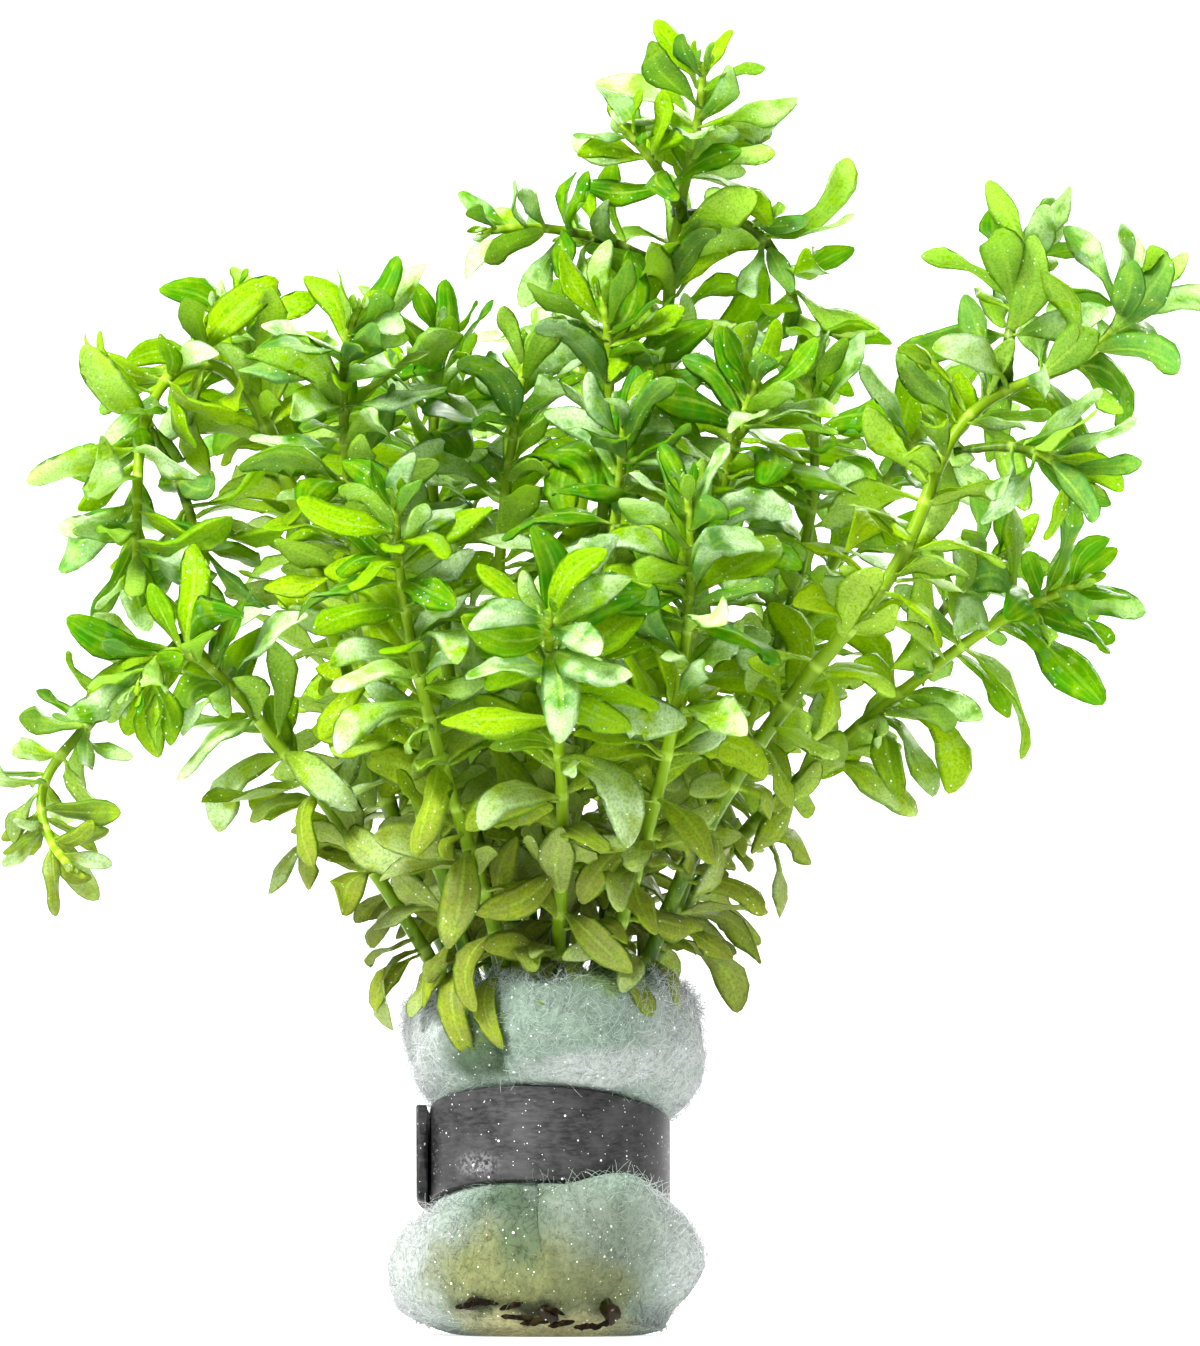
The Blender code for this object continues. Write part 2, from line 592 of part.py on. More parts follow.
def main():
    for thing in list(bpy.data.objects):
        bpy.data.objects.remove(thing)
    bunch = Bunch()
    for name, stem in bunch.stems.items():
        build_stem(name, stem)
    cutters = [end_cutter(name, bunch.stems[name]) for name in FRONT_ENDS]
    build_wool(cutters)
    build_strip()
    print("leaves", sum(len(stem.leaves) for stem in bunch.stems.values()),
          "of", 2 * sum(len(stem.nodes) for stem in bunch.stems.values()))


main()
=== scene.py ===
# %% [markdown]
# # A bunch of water hedge
#
# A handful of aquarium stems, cut level at the foot, rolled in a mat of filter wool and held
# by a bent strip of lead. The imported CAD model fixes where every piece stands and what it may
# touch. This script grows the fine leaves, the fibres of the wool and the finish of the lead
# in that same frame, so nothing has to be fitted by eye.

# %% The frame
import math

import bpy
import numpy as np
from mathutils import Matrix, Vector


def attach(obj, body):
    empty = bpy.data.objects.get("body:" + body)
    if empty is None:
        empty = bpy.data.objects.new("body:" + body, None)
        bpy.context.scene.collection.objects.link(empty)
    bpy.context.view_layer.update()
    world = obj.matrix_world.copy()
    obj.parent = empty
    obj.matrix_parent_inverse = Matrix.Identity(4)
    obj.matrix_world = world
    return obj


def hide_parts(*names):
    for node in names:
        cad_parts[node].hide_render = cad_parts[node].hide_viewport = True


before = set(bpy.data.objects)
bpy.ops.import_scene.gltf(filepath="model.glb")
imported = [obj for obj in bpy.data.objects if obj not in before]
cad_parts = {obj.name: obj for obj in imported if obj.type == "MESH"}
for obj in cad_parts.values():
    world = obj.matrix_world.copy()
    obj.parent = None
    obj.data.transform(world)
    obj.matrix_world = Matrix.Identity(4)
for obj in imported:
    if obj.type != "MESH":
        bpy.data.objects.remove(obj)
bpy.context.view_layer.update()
MM = 0.001

# %% [markdown]
# ## Camera
#
# The photograph looks at the bunch from the front through a long lens, so near and far leaves
# keep the same scale. It looks up from under the foot, which nothing standing on a floor
# allows. The nearest thing is a lens a few centimetres above the floor. The frame is 160 mm
# wide on the bunch's middle plane, so the focal length follows from the distance.

# %% Camera
FRAME_WIDTH, FRAME_HEIGHT = 160.0 * MM, 179.5 * MM
FRAME_CENTRE = (6.7 * MM, 0.0, 88.3 * MM)
CAMERA_DISTANCE = 2.2
CAMERA_HEIGHT = 40 * MM

lens = bpy.data.cameras.new("camera")
lens.sensor_fit = "VERTICAL"
lens.sensor_height = 24
lens.lens = lens.sensor_height * CAMERA_DISTANCE / FRAME_HEIGHT
camera = bpy.data.objects.new("camera", lens)
bpy.context.collection.objects.link(camera)
climb = math.atan2(FRAME_CENTRE[2] - CAMERA_HEIGHT, CAMERA_DISTANCE)
camera.location = (FRAME_CENTRE[0], -CAMERA_DISTANCE, CAMERA_HEIGHT)
camera.rotation_euler = (math.pi / 2 + climb, 0, 0)
bpy.context.scene.camera = camera
print("lens, mm:", round(lens.lens, 1), "looking up, degrees:", round(math.degrees(climb), 2))

# %% [markdown]
# ## Closed tubes
#
# A stem, a leaf and a wool fibre are all the same thing to a mesh: rings of points carried
# along a line and closed at both ends. A stem is a round tube, a leaf a very flat one, a fibre
# one with three sides. So one function turns an array of rings into a mesh, whatever they are
# and however many tubes there are. A row of points is worked out at once, never one by one.

# %% Tubes and pieces
def tube_faces(tubes, rings, sides):
    """Quads between neighbouring rings and triangles that close both ends on a middle point.

    Points are numbered tube by tube, ring by ring, then the two end points of each tube.
    """
    tube, ring, side = np.meshgrid(np.arange(tubes), np.arange(rings - 1), np.arange(sides),
                                   indexing="ij")
    here = (tube * rings + ring) * sides
    after = (side + 1) % sides
    quads = np.stack([here + side, here + after, here + sides + after, here + sides + side], -1)
    tube, side = tube[:, 0], side[:, 0]
    after = (side + 1) % sides
    first, last = tube * rings * sides, (tube * rings + rings - 1) * sides
    end = tubes * rings * sides + 2 * tube
    closing = [np.stack([end, first + after, first + side], -1),
               np.stack([end + 1, last + side, last + after], -1)]
    return quads.reshape(-1, 4), np.concatenate([c.reshape(-1, 3) for c in closing])


def tube_points(rings):
    """The points of an array (tubes, rings, sides, 3), with the middles of the end rings."""
    ends = np.stack([rings[:, 0].mean(axis=1), rings[:, -1].mean(axis=1)], 1)
    return np.concatenate([rings.reshape(-1, rings.shape[-1]), ends.reshape(-1, rings.shape[-1])])


def new_piece(name, points, faces, attributes, materials, material_of=None):
    """A smooth mesh at the origin, from arrays of points and of faces of any one size each."""
    mesh = bpy.data.meshes.new(name)
    mesh.vertices.add(len(points))
    mesh.vertices.foreach_set("co", np.asarray(points, np.float32).ravel())
    corners = np.concatenate([f.ravel() for f in faces])
    sizes = np.concatenate([np.full(len(f), f.shape[1]) for f in faces])
    mesh.loops.add(len(corners))
    mesh.loops.foreach_set("vertex_index", corners.astype(np.int32))
    mesh.polygons.add(len(sizes))
    starts = np.append(0, np.cumsum(sizes)[:-1])
    mesh.polygons.foreach_set("loop_start", starts.astype(np.int32))
    mesh.polygons.foreach_set("use_smooth", np.ones(len(sizes), bool))
    for key, values in attributes.items():
        layer = mesh.attributes.new(key, "FLOAT_VECTOR", "POINT")
        layer.data.foreach_set("vector", np.asarray(values, np.float32).ravel())
    for material in materials:
        mesh.materials.append(material)
    if material_of is not None:
        mesh.polygons.foreach_set("material_index", np.asarray(material_of, np.int32))
    mesh.update(calc_edges=True)
    mesh.validate()
    piece = bpy.data.objects.new(name, mesh)
    bpy.context.collection.objects.link(piece)
    return piece


# %% [markdown]
# ## Floor and light
#
# The photograph is nearly all white: a white ground, with light from above, from the front
# and through the leaves. A pale floor that curves up behind the bunch has no edge that would
# show as a line, and a little light of its own keeps it as white as the photograph's ground. A
# white world lights everything evenly. A lamp from the upper left gives the leaves a bright and
# a shaded side, and one from behind makes them glow.

# %% Floor and lights
FLOOR_REACH = 3.0
FLOOR_WIDTH = 8.0
COVE_RADIUS = 1.2
FLOOR_WHITE = (0.85, 0.85, 0.85, 1)
FLOOR_GLOW = 0.7
WORLD_STRENGTH = 0.66
LIT_POINT = (0.0, 0.0, 0.09)
# Each lamp: its place and width in metres, its watts and its colour
LAMPS = {
    "key": ((-0.45, -0.6, 0.75), 0.35, 44.0, (1.0, 0.99, 0.96)),
    "back": ((0.3, 0.7, 0.6), 0.5, 28.0, (1.0, 1.0, 0.97)),
}


def build_floor():
    """A floor that turns up behind: a straight line, a quarter circle and a straight line."""
    turn = np.linspace(0, math.pi / 2, 16)
    y = np.concatenate([[-FLOOR_REACH], FLOOR_REACH + COVE_RADIUS * np.sin(turn),
                        [FLOOR_REACH + COVE_RADIUS]])
    z = np.concatenate([[0.0], COVE_RADIUS * (1 - np.cos(turn)), [2 * FLOOR_REACH]])
    x = np.array([-FLOOR_WIDTH / 2, FLOOR_WIDTH / 2])
    grid = np.stack(np.broadcast_arrays(x, y[:, None], z[:, None]), -1)
    row = np.arange(len(y) - 1)[:, None] * 2
    quads = row + np.array([[0, 1, 3, 2]])
    finish = bpy.data.materials.new("floor")
    finish.use_nodes = True
    shader = finish.node_tree.nodes["Principled BSDF"]
    shader.inputs["Base Color"].default_value = FLOOR_WHITE
    shader.inputs["Roughness"].default_value = 0.9
    shader.inputs["Emission Color"].default_value = (1, 1, 1, 1)
    shader.inputs["Emission Strength"].default_value = FLOOR_GLOW
    return new_piece("floor", grid.reshape(-1, 3), [quads], {}, [finish])


def build_lamp(name, place, size, watts, colour):
    """A square area lamp at a place, turned to shine at the middle of the bunch."""
    light = bpy.data.lights.new(name, "AREA")
    light.size, light.energy, light.color = size, watts, colour
    lamp = bpy.data.objects.new(name, light)
    lamp.location = place
    lamp.rotation_euler = (Vector(LIT_POINT) - Vector(place)).to_track_quat("-Z", "Y").to_euler()
    bpy.context.collection.objects.link(lamp)


build_floor()
world = bpy.data.worlds.new("white studio")
world.use_nodes = True
world.node_tree.nodes["Background"].inputs["Color"].default_value = (1, 1, 1, 1)
world.node_tree.nodes["Background"].inputs["Strength"].default_value = WORLD_STRENGTH
bpy.context.scene.world = world
bpy.context.scene.view_settings.view_transform = "Standard"
for name, lamp in LAMPS.items():
    build_lamp(name, *lamp)
print("lamps:", len(LAMPS))

# %% [markdown]
# ## The stems' lines
#
# The stems leave the wool side by side and fan out. Each line is a smooth curve steered by a
# few points, the same ones as in the CAD model. A tube carried along a curve needs a direction
# that says where its sides are. If that were taken from the curve's own bending it would flip
# at each change of bend, so it is carried from point to point and only straightened as it goes.

# %% Routes, in millimetres
RING_RADIUS = (0.0, 3.1 * MM, 6.1 * MM)
STRAIGHT_TOP = 27 * MM
SPREAD_FROM = 33 * MM
FRONT_END_TOP = 21 * MM
STEM_RADIUS = 1.2 * MM
TIP_RADIUS = 0.5 * MM
TAPER_LENGTH = 75 * MM
SEED = 11

# Each stem: the ring and the angle of its seat in the bundle, and its points above the wool
STEMS = {
    "stem_left_low": (2, 180, [
        (-13.5, -3.5, 46), (-20, -6, 57), (-29, -10, 70), (-38, -14, 81), (-46, -18, 91),
        (-52, -21, 91), (-54.5, -25, 85)]),
    "stem_left_arch": (2, 150, [
        (-12, 5, 47), (-18, 9, 61), (-25, 12, 80), (-31, 13, 100), (-36, 13, 119), (-43, 11, 131),
        (-51, 7, 130), (-55, 2, 121), (-55, -3, 110), (-55, -7, 100)]),
    "stem_left_tall": (2, 210, [
        (-10, -9, 47), (-14, -13, 61), (-19, -17, 76), (-24, -19, 92), (-26, -20, 108),
        (-27.5, -21, 122), (-27, -24, 132), (-25, -28, 136)]),
    "stem_left_inner": (1, 150, [
        (-6, 3.5, 46), (-9, 5, 62), (-13, 5, 82), (-15, 3, 102), (-16, 0, 117), (-15, -3, 127),
        (-14, -5, 134)]),
    "stem_back_left": (2, 120, [
        (-7.5, 11, 47), (-12, 19, 64), (-19, 27, 82), (-26, 32, 100), (-33, 34, 117),
        (-39, 32, 130), (-44, 28, 139)]),
    "stem_front_left": (2, 240, [
        (-5, -11, 47), (-9, -19, 60), (-14, -28, 75), (-18, -34, 90), (-20, -38, 103),
        (-20, -42, 110)]),
    "stem_middle_left": (1, 210, [
        (-4, -3, 46), (-6, -5, 63), (-7, -7, 83), (-7, -8, 103), (-5, -10, 119), (-3, -11, 131)]),
    "stem_inner_back": (1, 90, [
        (-1, 3.5, 46), (-4, 9, 64), (-9, 15, 84), (-13, 19, 102), (-17, 20, 118), (-20, 18, 130)]),
    "stem_inner_front": (1, 270, [
        (0.5, -3.5, 46), (2, -9, 64), (5, -15, 84), (8, -20, 102), (9.5, -24, 114),
        (10, -27, 122)]),
    "stem_front": (2, 270, [
        (1, -11.5, 47), (1.5, -18, 58), (2, -28, 70), (1, -38, 82), (0, -46, 90), (0, -53, 94),
        (0, -58, 95)]),
    "stem_middle": (0, 0, [
        (1, 0, 46), (3, -1, 66), (5, -3, 88), (7, -6, 108), (8, -9, 123), (8, -11, 132),
        (7, -13, 138)]),
    "stem_back": (2, 90, [
        (0, 12.5, 47), (0, 21, 64), (1, 29, 82), (3, 34, 101), (5, 36, 118), (5, 36, 130),
        (3, 34, 138)]),
    "stem_tall": (1, 30, [
        (6, 3.5, 46), (9, 5, 66), (12, 6, 90), (14.5, 6, 112), (15.5, 5, 130), (16, 5, 143),
        (18, 4, 154), (20, 2, 162), (20.5, 1, 170)]),
    "stem_right_inner": (1, 330, [
        (6, -3.5, 46), (10, -6, 62), (15, -9, 79), (19, -12, 94), (22, -15, 108), (25, -19, 120),
        (28, -23, 128)]),
    "stem_right_middle": (2, 0, [
        (13, 1, 47), (18, 3, 60), (22, 5, 72), (28, 7, 85), (33, 7, 99), (35.5, 5, 112),
        (35.5, 2, 122), (34, -1, 129)]),
    "stem_back_right": (2, 60, [
        (7.5, 11, 47), (13, 18, 62), (22, 26, 78), (32, 32, 94), (41, 35, 108), (48, 35, 119),
        (54, 32, 127)]),
    "stem_right_high": (2, 330, [
        (12, -6, 47), (17, -9, 60), (22, -12, 70), (29, -15, 81), (38, -18, 92), (46, -19, 101),
        (50, -18, 111), (53, -16, 120), (60, -15, 126), (69, -15, 128), (75, -15, 133),
        (78.5, -14, 141)]),
    "stem_right_low": (2, 30, [
        (12, 6, 47), (17, 9, 57), (25, 10, 66), (35, 8, 76), (46, 4, 85), (56, 0, 93),
        (65, -4, 98), (71, -8, 100)]),
    "stem_front_right": (2, 300, [
        (7, -10, 47), (11, -18, 60), (15, -28, 74), (18, -35, 89), (19, -39, 104), (18, -42, 112)]),
}

# Each side shoot: the stem that it leaves, its leaves' size beside that stem's, and its
# points from just clear of that stem
SHOOTS = {
    "shoot_left_tip": ("stem_left_low", 0.68, [
        (-48, -16, 92.5), (-53, -14, 89), (-58, -14, 85), (-62, -14, 80), (-66, -14, 76),
        (-68, -15, 71), (-66, -18, 65), (-63, -23, 62)]),
    "shoot_tall_left": ("stem_tall", 0.75, [
        (14, 4.5, 143), (9, 3, 146), (2, 1, 147.5), (-4, 0, 148), (-9, -2, 147)]),
    "shoot_tall_right": ("stem_tall", 0.85, [
        (18.7, 4.5, 150), (24, 6, 150), (29, 6, 147), (32, 5, 141), (34, 4, 133), (35, 3, 128)]),
    "shoot_tall_front": ("stem_tall", 0.8, [
        (17.3, 1.5, 150.5), (15.5, -2, 154), (12.5, -5, 158), (9.5, -7, 161)]),
    "shoot_right_high": ("stem_right_high", 1.0, [
        (60.6, -14, 128), (61, -12, 134), (63, -10, 141), (66, -9, 147)]),
    "shoot_right_front": ("stem_right_high", 0.9, [
        (56, -19, 117.6), (60.5, -20.5, 118), (66, -21, 117), (71, -22, 112)]),
    "shoot_right_low": ("stem_right_low", 0.9, [
        (49.8, 3.8, 92), (52.5, 5, 97), (57, 5, 102), (62, 4, 105)]),
    "shoot_left_arch": ("stem_left_arch", 0.9, [
        (-52.2, 3, 119), (-49, 3, 113), (-47, 3, 106), (-46, 2, 99)]),
}

# The front stems come out through the foot of the wool: where each one is cut
FRONT_ENDS = {
    "stem_front_left": [(-3.4, -8.5, 14), (-7.5, -13.5, 6.5), (-10.5, -18.2, 4.2)],
    "stem_front": [(0.4, -8.5, 13), (0.4, -14, 5.5), (-0.2, -20.4, 2.8)],
    "stem_front_right": [(5.0, -7.4, 12), (6.8, -12.5, 5), (8.5, -18.6, 2.6)],
}

# %% Smooth lines with frames
def smooth_curve(points, step=0.5 * MM):
    """Points every step along the uniform cubic B-spline that the given points steer."""
    p = np.array([points[0]] * 2 + list(points) + [points[-1]] * 2, float)
    t = np.linspace(0, 1, 20, endpoint=False)[:, None]
    weights = ((1 - t) ** 3, 3 * t**3 - 6 * t**2 + 4, -3 * t**3 + 3 * t**2 + 3 * t + 1, t**3)
    spans = [sum(w * p[i + k] for k, w in enumerate(weights)) / 6 for i in range(len(p) - 3)]
    curve = np.vstack(spans + [p[-1:]])
    along = np.append(0, np.cumsum(np.linalg.norm(np.diff(curve, axis=0), axis=1)))
    at = np.linspace(0, along[-1], max(2, round(along[-1] / step)))
    return np.column_stack([np.interp(at, along, curve[:, axis]) for axis in range(3)])


def carried_frames(curve, turn):
    """Unit tangent and side at each point of a curve, the side carried along untwisted."""
    tangent = np.gradient(curve, axis=0)
    tangent /= np.linalg.norm(tangent, axis=1)[:, None]
    side = np.empty_like(tangent)
    guide = np.array([math.cos(turn), math.sin(turn), 0.15])
    for i, direction in enumerate(tangent):
        guide = guide - direction * (guide @ direction)
        guide /= np.linalg.norm(guide)
        side[i] = guide
    return tangent, side


def unit(vectors):
    return vectors / np.linalg.norm(vectors, axis=-1, keepdims=True)


def seat(ring, degrees, z):
    """A point of the bundle's seat at height z."""
    angle = math.radians(degrees)
    return (RING_RADIUS[ring] * math.cos(angle), RING_RADIUS[ring] * math.sin(angle), z)


def to_metres(points):
    return [tuple(MM * value for value in point) for point in points]


def stem_points(name):
    """Steering points of a stem from its cut end to its tip."""
    ring, degrees, above = STEMS[name]
    if name in FRONT_ENDS:
        foot = to_metres(reversed(FRONT_ENDS[name])) + [seat(ring, degrees, FRONT_END_TOP)]
    else:
        foot = [seat(ring, degrees, z) for z in (0, STRAIGHT_TOP / 2)]
    bundled = [seat(ring, degrees, z) for z in (STRAIGHT_TOP, SPREAD_FROM)]
    return foot + bundled + to_metres(above)


# %% [markdown]
# ## Where the leaves stand
#
# Water hedge carries its leaves in pairs, each pair turned a quarter from the one before. The
# pairs crowd together at the growing tip and spread out below. A young leaf stands up along
# its stem, and an older one leans out and bends back. This is the same rule as in the CAD
# model, with the same random numbers, so every blade grows on the solid that stands for it.

# %% Stems and leaf pairs
TIP_GAP = 1.9 * MM
GAP_GROWTH = 1.18
LONGEST_GAP = 6.6 * MM
FIRST_NODE_Z = 47 * MM
SHOOT_BARE = 3 * MM
LEAF_LENGTH = 15.0 * MM
LEAF_WIDTH_RATIO = 0.33
LIGHT = np.array([0.0, -1.0, 0.0])
LIGHT_TWIST = 0.6


class Stem:
    """A stem's middle line with its frames, and where its leaf pairs stand."""

    def __init__(self, points, turn, leaf_size=1.0, bare=0.0):
        self.leaf_size, self.is_shoot = leaf_size, bool(bare)
        self.curve = smooth_curve(points)
        self.tangent, self.side = carried_frames(self.curve, turn)
        steps = np.linalg.norm(np.diff(self.curve, axis=0), axis=1)
        self.along = np.append(0, np.cumsum(steps))
        self.length = self.along[-1]
        lowest = bare or self.along[np.argmax(self.curve[:, 2] > FIRST_NODE_Z)]
        gap, at = TIP_GAP, self.length - TIP_GAP
        self.nodes = []
        while at > lowest:
            self.nodes.append(at)
            at -= gap
            gap = min(gap * GAP_GROWTH, LONGEST_GAP)
        self.leaves = []

    def at(self, distance):
        """Point, tangent and side at a distance, or an array of them, from the cut end."""
        def read(values):
            return np.stack([np.interp(distance, self.along, values[:, k]) for k in range(3)], -1)
        before = np.minimum(distance, 0.0) * np.ones(np.shape(distance))
        return (read(self.curve) + before[..., None] * self.tangent[0],
                unit(read(self.tangent)), unit(read(self.side)))

    def radius(self, distance):
        """Full low down, thinning to the growing tip."""
        left = np.clip((self.length - distance) / TAPER_LENGTH, 0, 1)
        return TIP_RADIUS + (STEM_RADIUS - TIP_RADIUS) * left**0.6


class Leaf:
    """One leaf: a blade that leaves its stem at a pitch and bends back and twists on its way."""

    def __init__(self, stem, distance, azimuth, pitch, bend, twist, length):
        centre, tangent, side = stem.at(distance)
        across = np.cross(tangent, side)
        self.axis = tangent
        self.out = math.cos(azimuth) * side + math.sin(azimuth) * across
        self.side = np.cross(tangent, self.out)
        self.root = centre + self.out * stem.radius(distance)
        self.pitch, self.bend, self.length = pitch, bend, length
        self.width = length * LEAF_WIDTH_RATIO
        self.twist = twist + LIGHT_TWIST * self.turn_to_light()

    def turn_to_light(self):
        """The least turn about the midrib that shows one of the leaf's faces to the light."""
        pitch = self.pitch + self.bend / 2
        flat = math.sin(pitch) * self.axis - math.cos(pitch) * self.out
        turn = math.atan2(-self.side @ LIGHT, flat @ LIGHT)
        return (turn + math.pi / 2) % math.pi - math.pi / 2

    def spine(self, shares):
        """Points of the midrib: the integral of a direction whose pitch grows evenly."""
        shares = np.atleast_1d(shares)[:, None]
        bend = self.bend if abs(self.bend) > 1e-3 else 1e-3
        end = self.pitch + bend * shares
        forward = (np.sin(end) - math.sin(self.pitch)) / bend
        outward = (math.cos(self.pitch) - np.cos(end)) / bend
        return self.root + self.length * (forward * self.axis + outward * self.out)

    def cross(self, shares):
        """Directions across the blade and out of its upper side at shares of the length."""
        shares = np.atleast_1d(shares)[:, None]
        pitch, twist = self.pitch + self.bend * shares, self.twist * shares
        flat = np.sin(pitch) * self.axis - np.cos(pitch) * self.out
        across = np.cos(twist) * self.side + np.sin(twist) * flat
        return across, np.cos(twist) * flat - np.sin(twist) * self.side

    def samples(self):
        """Points spread over the blade, five across at seven stations."""
        stations = np.linspace(0.3, 1, 7)
        half = 0.5 * self.width * np.array([0.7, 0.9, 1, 1, 0.95, 0.8, 0.5])
        offsets = (half[:, None] * np.linspace(-0.9, 0.9, 5))[..., None]
        across = self.cross(stations)[0][:, None]
        return (self.spine(stations)[:, None] + offsets * across).reshape(-1, 3)


# %% [markdown]
# A leaf that would run through its neighbour is swung or shortened a little, and left out if
# nothing helps. Each leaf is tried against a cloud of sample points of the leaves already
# placed, which is far quicker than cutting meshes against one another.

# %% Placing the leaves
WOOL_SIDE = [(18.8, 1.2), (21.2, 5), (21.2, 10), (18.2, 14.2), (14.1, 15.9), (14.1, 30.1),
             (17.8, 31.9), (20.2, 36.5), (20.0, 41.5), (18.8, 44.5)]
LAYER_STEP = 1.6 * MM
RIM_RISE = 3.4 * MM
LEAF_CLEAR = 1.3 * MM
STEM_CLEAR = 2.2 * MM
OWN_STEM_CLEAR = 1.5 * MM
WOOL_CLEAR = 0.7 * MM
SWINGS = ((0, 0), (14, 0), (-14, 0), (0, -14), (0, 14), (22, -10), (-22, 10))
SIZES = (1, 0.88, 0.76)
# Degrees: at the tip, gained further down, and either way by chance
PITCH_TIP, PITCH_GAIN, PITCH_CHANCE = 22, 36, 20
BEND_TIP, BEND_GAIN, BEND_CHANCE = 12, 7, 26
DROOP, TWIST_CHANCE, TURN_CHANCE = 45, 55, 24
LENGTH_CHANCE = 0.15


def wool_gap(points):
    """How far points stand off the wool, taken as a solid of revolution."""
    radius = np.hypot(points[:, 0], points[:, 1])
    heights = [z * MM for _, z in WOOL_SIDE]
    wall = np.interp(points[:, 2], heights, [r * MM for r, _ in WOOL_SIDE]) + LAYER_STEP
    above = points[:, 2] - heights[-1] - RIM_RISE
    return np.maximum(radius - wall, above)


def nearest(points, others):
    """The least distance between two sets of points."""
    if not len(others):
        return np.inf
    return np.sqrt(((points[:, None] - others[None]) ** 2).sum(2).min())


class Bunch:
    """All stems, and their leaves placed one by one where there is room."""

    def __init__(self):
        self.random = np.random.default_rng(SEED)
        self.stems = {name: Stem(stem_points(name), self.random.uniform(0, math.tau))
                      for name in STEMS}
        for name, (_, size, points) in SHOOTS.items():
            turn = self.random.uniform(0, math.tau)
            self.stems[name] = Stem(to_metres(points), turn, size, SHOOT_BARE)
        self.centres, self.clouds = [], []
        pairs = max(len(stem.nodes) for stem in self.stems.values())
        for order in range(pairs):
            for name, stem in self.stems.items():
                if order < len(stem.nodes):
                    self.add_pair(name, stem, order)

    def add_pair(self, name, stem, order):
        """Two opposite leaves, each pair turned a quarter from the one above it."""
        turns = (len(stem.nodes) - 1 - order) * math.pi / 2
        grown = max(0.5, 1 - 0.62 * math.exp(-order / 1.6) - 0.035 * max(0, order - 6))
        for opposite in (0, math.pi):
            luck = self.random.uniform(-1, 1, 5)
            droop = DROOP * max(0, luck[1]) * min(1, order / 12)
            leant = PITCH_TIP + PITCH_GAIN * (1 - math.exp(-order / 3))
            pitch = math.radians(leant + PITCH_CHANCE * luck[0] + droop)
            bend = math.radians(BEND_TIP + BEND_GAIN * min(order, 8) + BEND_CHANCE * luck[1])
            twist = math.radians(TWIST_CHANCE * luck[4])
            length = LEAF_LENGTH * stem.leaf_size * grown * (1 + LENGTH_CHANCE * luck[2])
            azimuth = turns + opposite + math.radians(TURN_CHANCE * luck[3])
            leaf = self.best_fit(name, stem, order, azimuth, pitch, bend, twist, length)
            if leaf:
                stem.leaves.append((order, leaf))
                self.clouds.append(leaf.samples())
                self.centres.append(self.clouds[-1].mean(axis=0))

    def best_fit(self, name, stem, order, azimuth, pitch, bend, twist, length):
        """The first of a few swings and lengths that stands clear of everything, or nothing."""
        for size in SIZES:
            for swing, lift in SWINGS:
                leaf = Leaf(stem, stem.nodes[order], azimuth + math.radians(swing),
                            pitch + math.radians(lift), bend, twist, length * size)
                if self.is_clear(name, leaf):
                    return leaf
        return None

    def is_clear(self, name, leaf, leaf_clear=LEAF_CLEAR):
        """Whether a leaf keeps its distance from the wool, the other leaves and the stems."""
        points = leaf.samples()
        if wool_gap(points).min() < WOOL_CLEAR:
            return False
        centre = points.mean(axis=0)
        if self.centres:
            near = np.linalg.norm(np.array(self.centres) - centre, axis=1) < 1.4 * LEAF_LENGTH
            for index in np.flatnonzero(near):
                if nearest(points, self.clouds[index]) < leaf_clear:
                    return False
        if nearest(points, self.stems[name].curve) < OWN_STEM_CLEAR:
            return False
        others = np.vstack([stem.curve[::2] for other, stem in self.stems.items() if other != name])
        foot = leaf.spine(np.linspace(0.08, 0.3, 4))
        return min(nearest(points, others), nearest(foot, others)) > STEM_CLEAR


bunch = Bunch()
print("stems:", len(bunch.stems), "leaves:", sum(len(s.leaves) for s in bunch.stems.values()))

# %% [markdown]
# Small young leaves stand in the crook of the grown ones, and a few more fill the crown between
# the pairs. They stay inside the reach of the leaves that are there, so the solids leave them
# out. Each is tried a few times and kept only where it finds room.

# %% Small leaves between the pairs
FILL_STEP = 0.9 * MM
FILL_REACH = 70 * MM
FILL_CLEAR = 0.6 * MM
FILL_SEED = 23
# Share of a grown leaf's length, pitch and bend in degrees, each with its chance either way
FILL_LENGTH, FILL_PITCH, FILL_BEND = (0.72, 0.2), (48, 26), (25, 40)
FILL_TWIST = 0.9
OLDEST = 14  # the order from which on a leaf counts as fully grown


def about(middle_and_chance, luck):
    """A value near its middle, moved either way by its chance."""
    middle, chance = middle_and_chance
    return middle + chance * luck


def fill_in(bunch):
    """Adds small leaves down each stem from its tip, fewer lower down."""
    random = np.random.default_rng(FILL_SEED)
    added = 0
    for name, stem in bunch.stems.items():
        lowest = stem.nodes[-1]
        for distance in np.arange(stem.length - 5 * MM, lowest, -FILL_STEP):
            down = (stem.length - distance) / FILL_REACH
            luck = random.uniform(-1, 1, 6)
            if luck[5] > 1.2 - 1.1 * down:
                continue
            length = LEAF_LENGTH * stem.leaf_size * about(FILL_LENGTH, luck[0])
            leaf = Leaf(stem, distance, math.pi * luck[1], math.radians(about(FILL_PITCH, luck[2])),
                        math.radians(about(FILL_BEND, luck[3])), FILL_TWIST * luck[4], length)
            if bunch.is_clear(name, leaf, FILL_CLEAR):
                stem.leaves.append((min(OLDEST, OLDEST * down), leaf))
                bunch.clouds.append(leaf.samples())
                bunch.centres.append(bunch.clouds[-1].mean(axis=0))
                added += 1
    return added


print("small leaves:", fill_in(bunch))
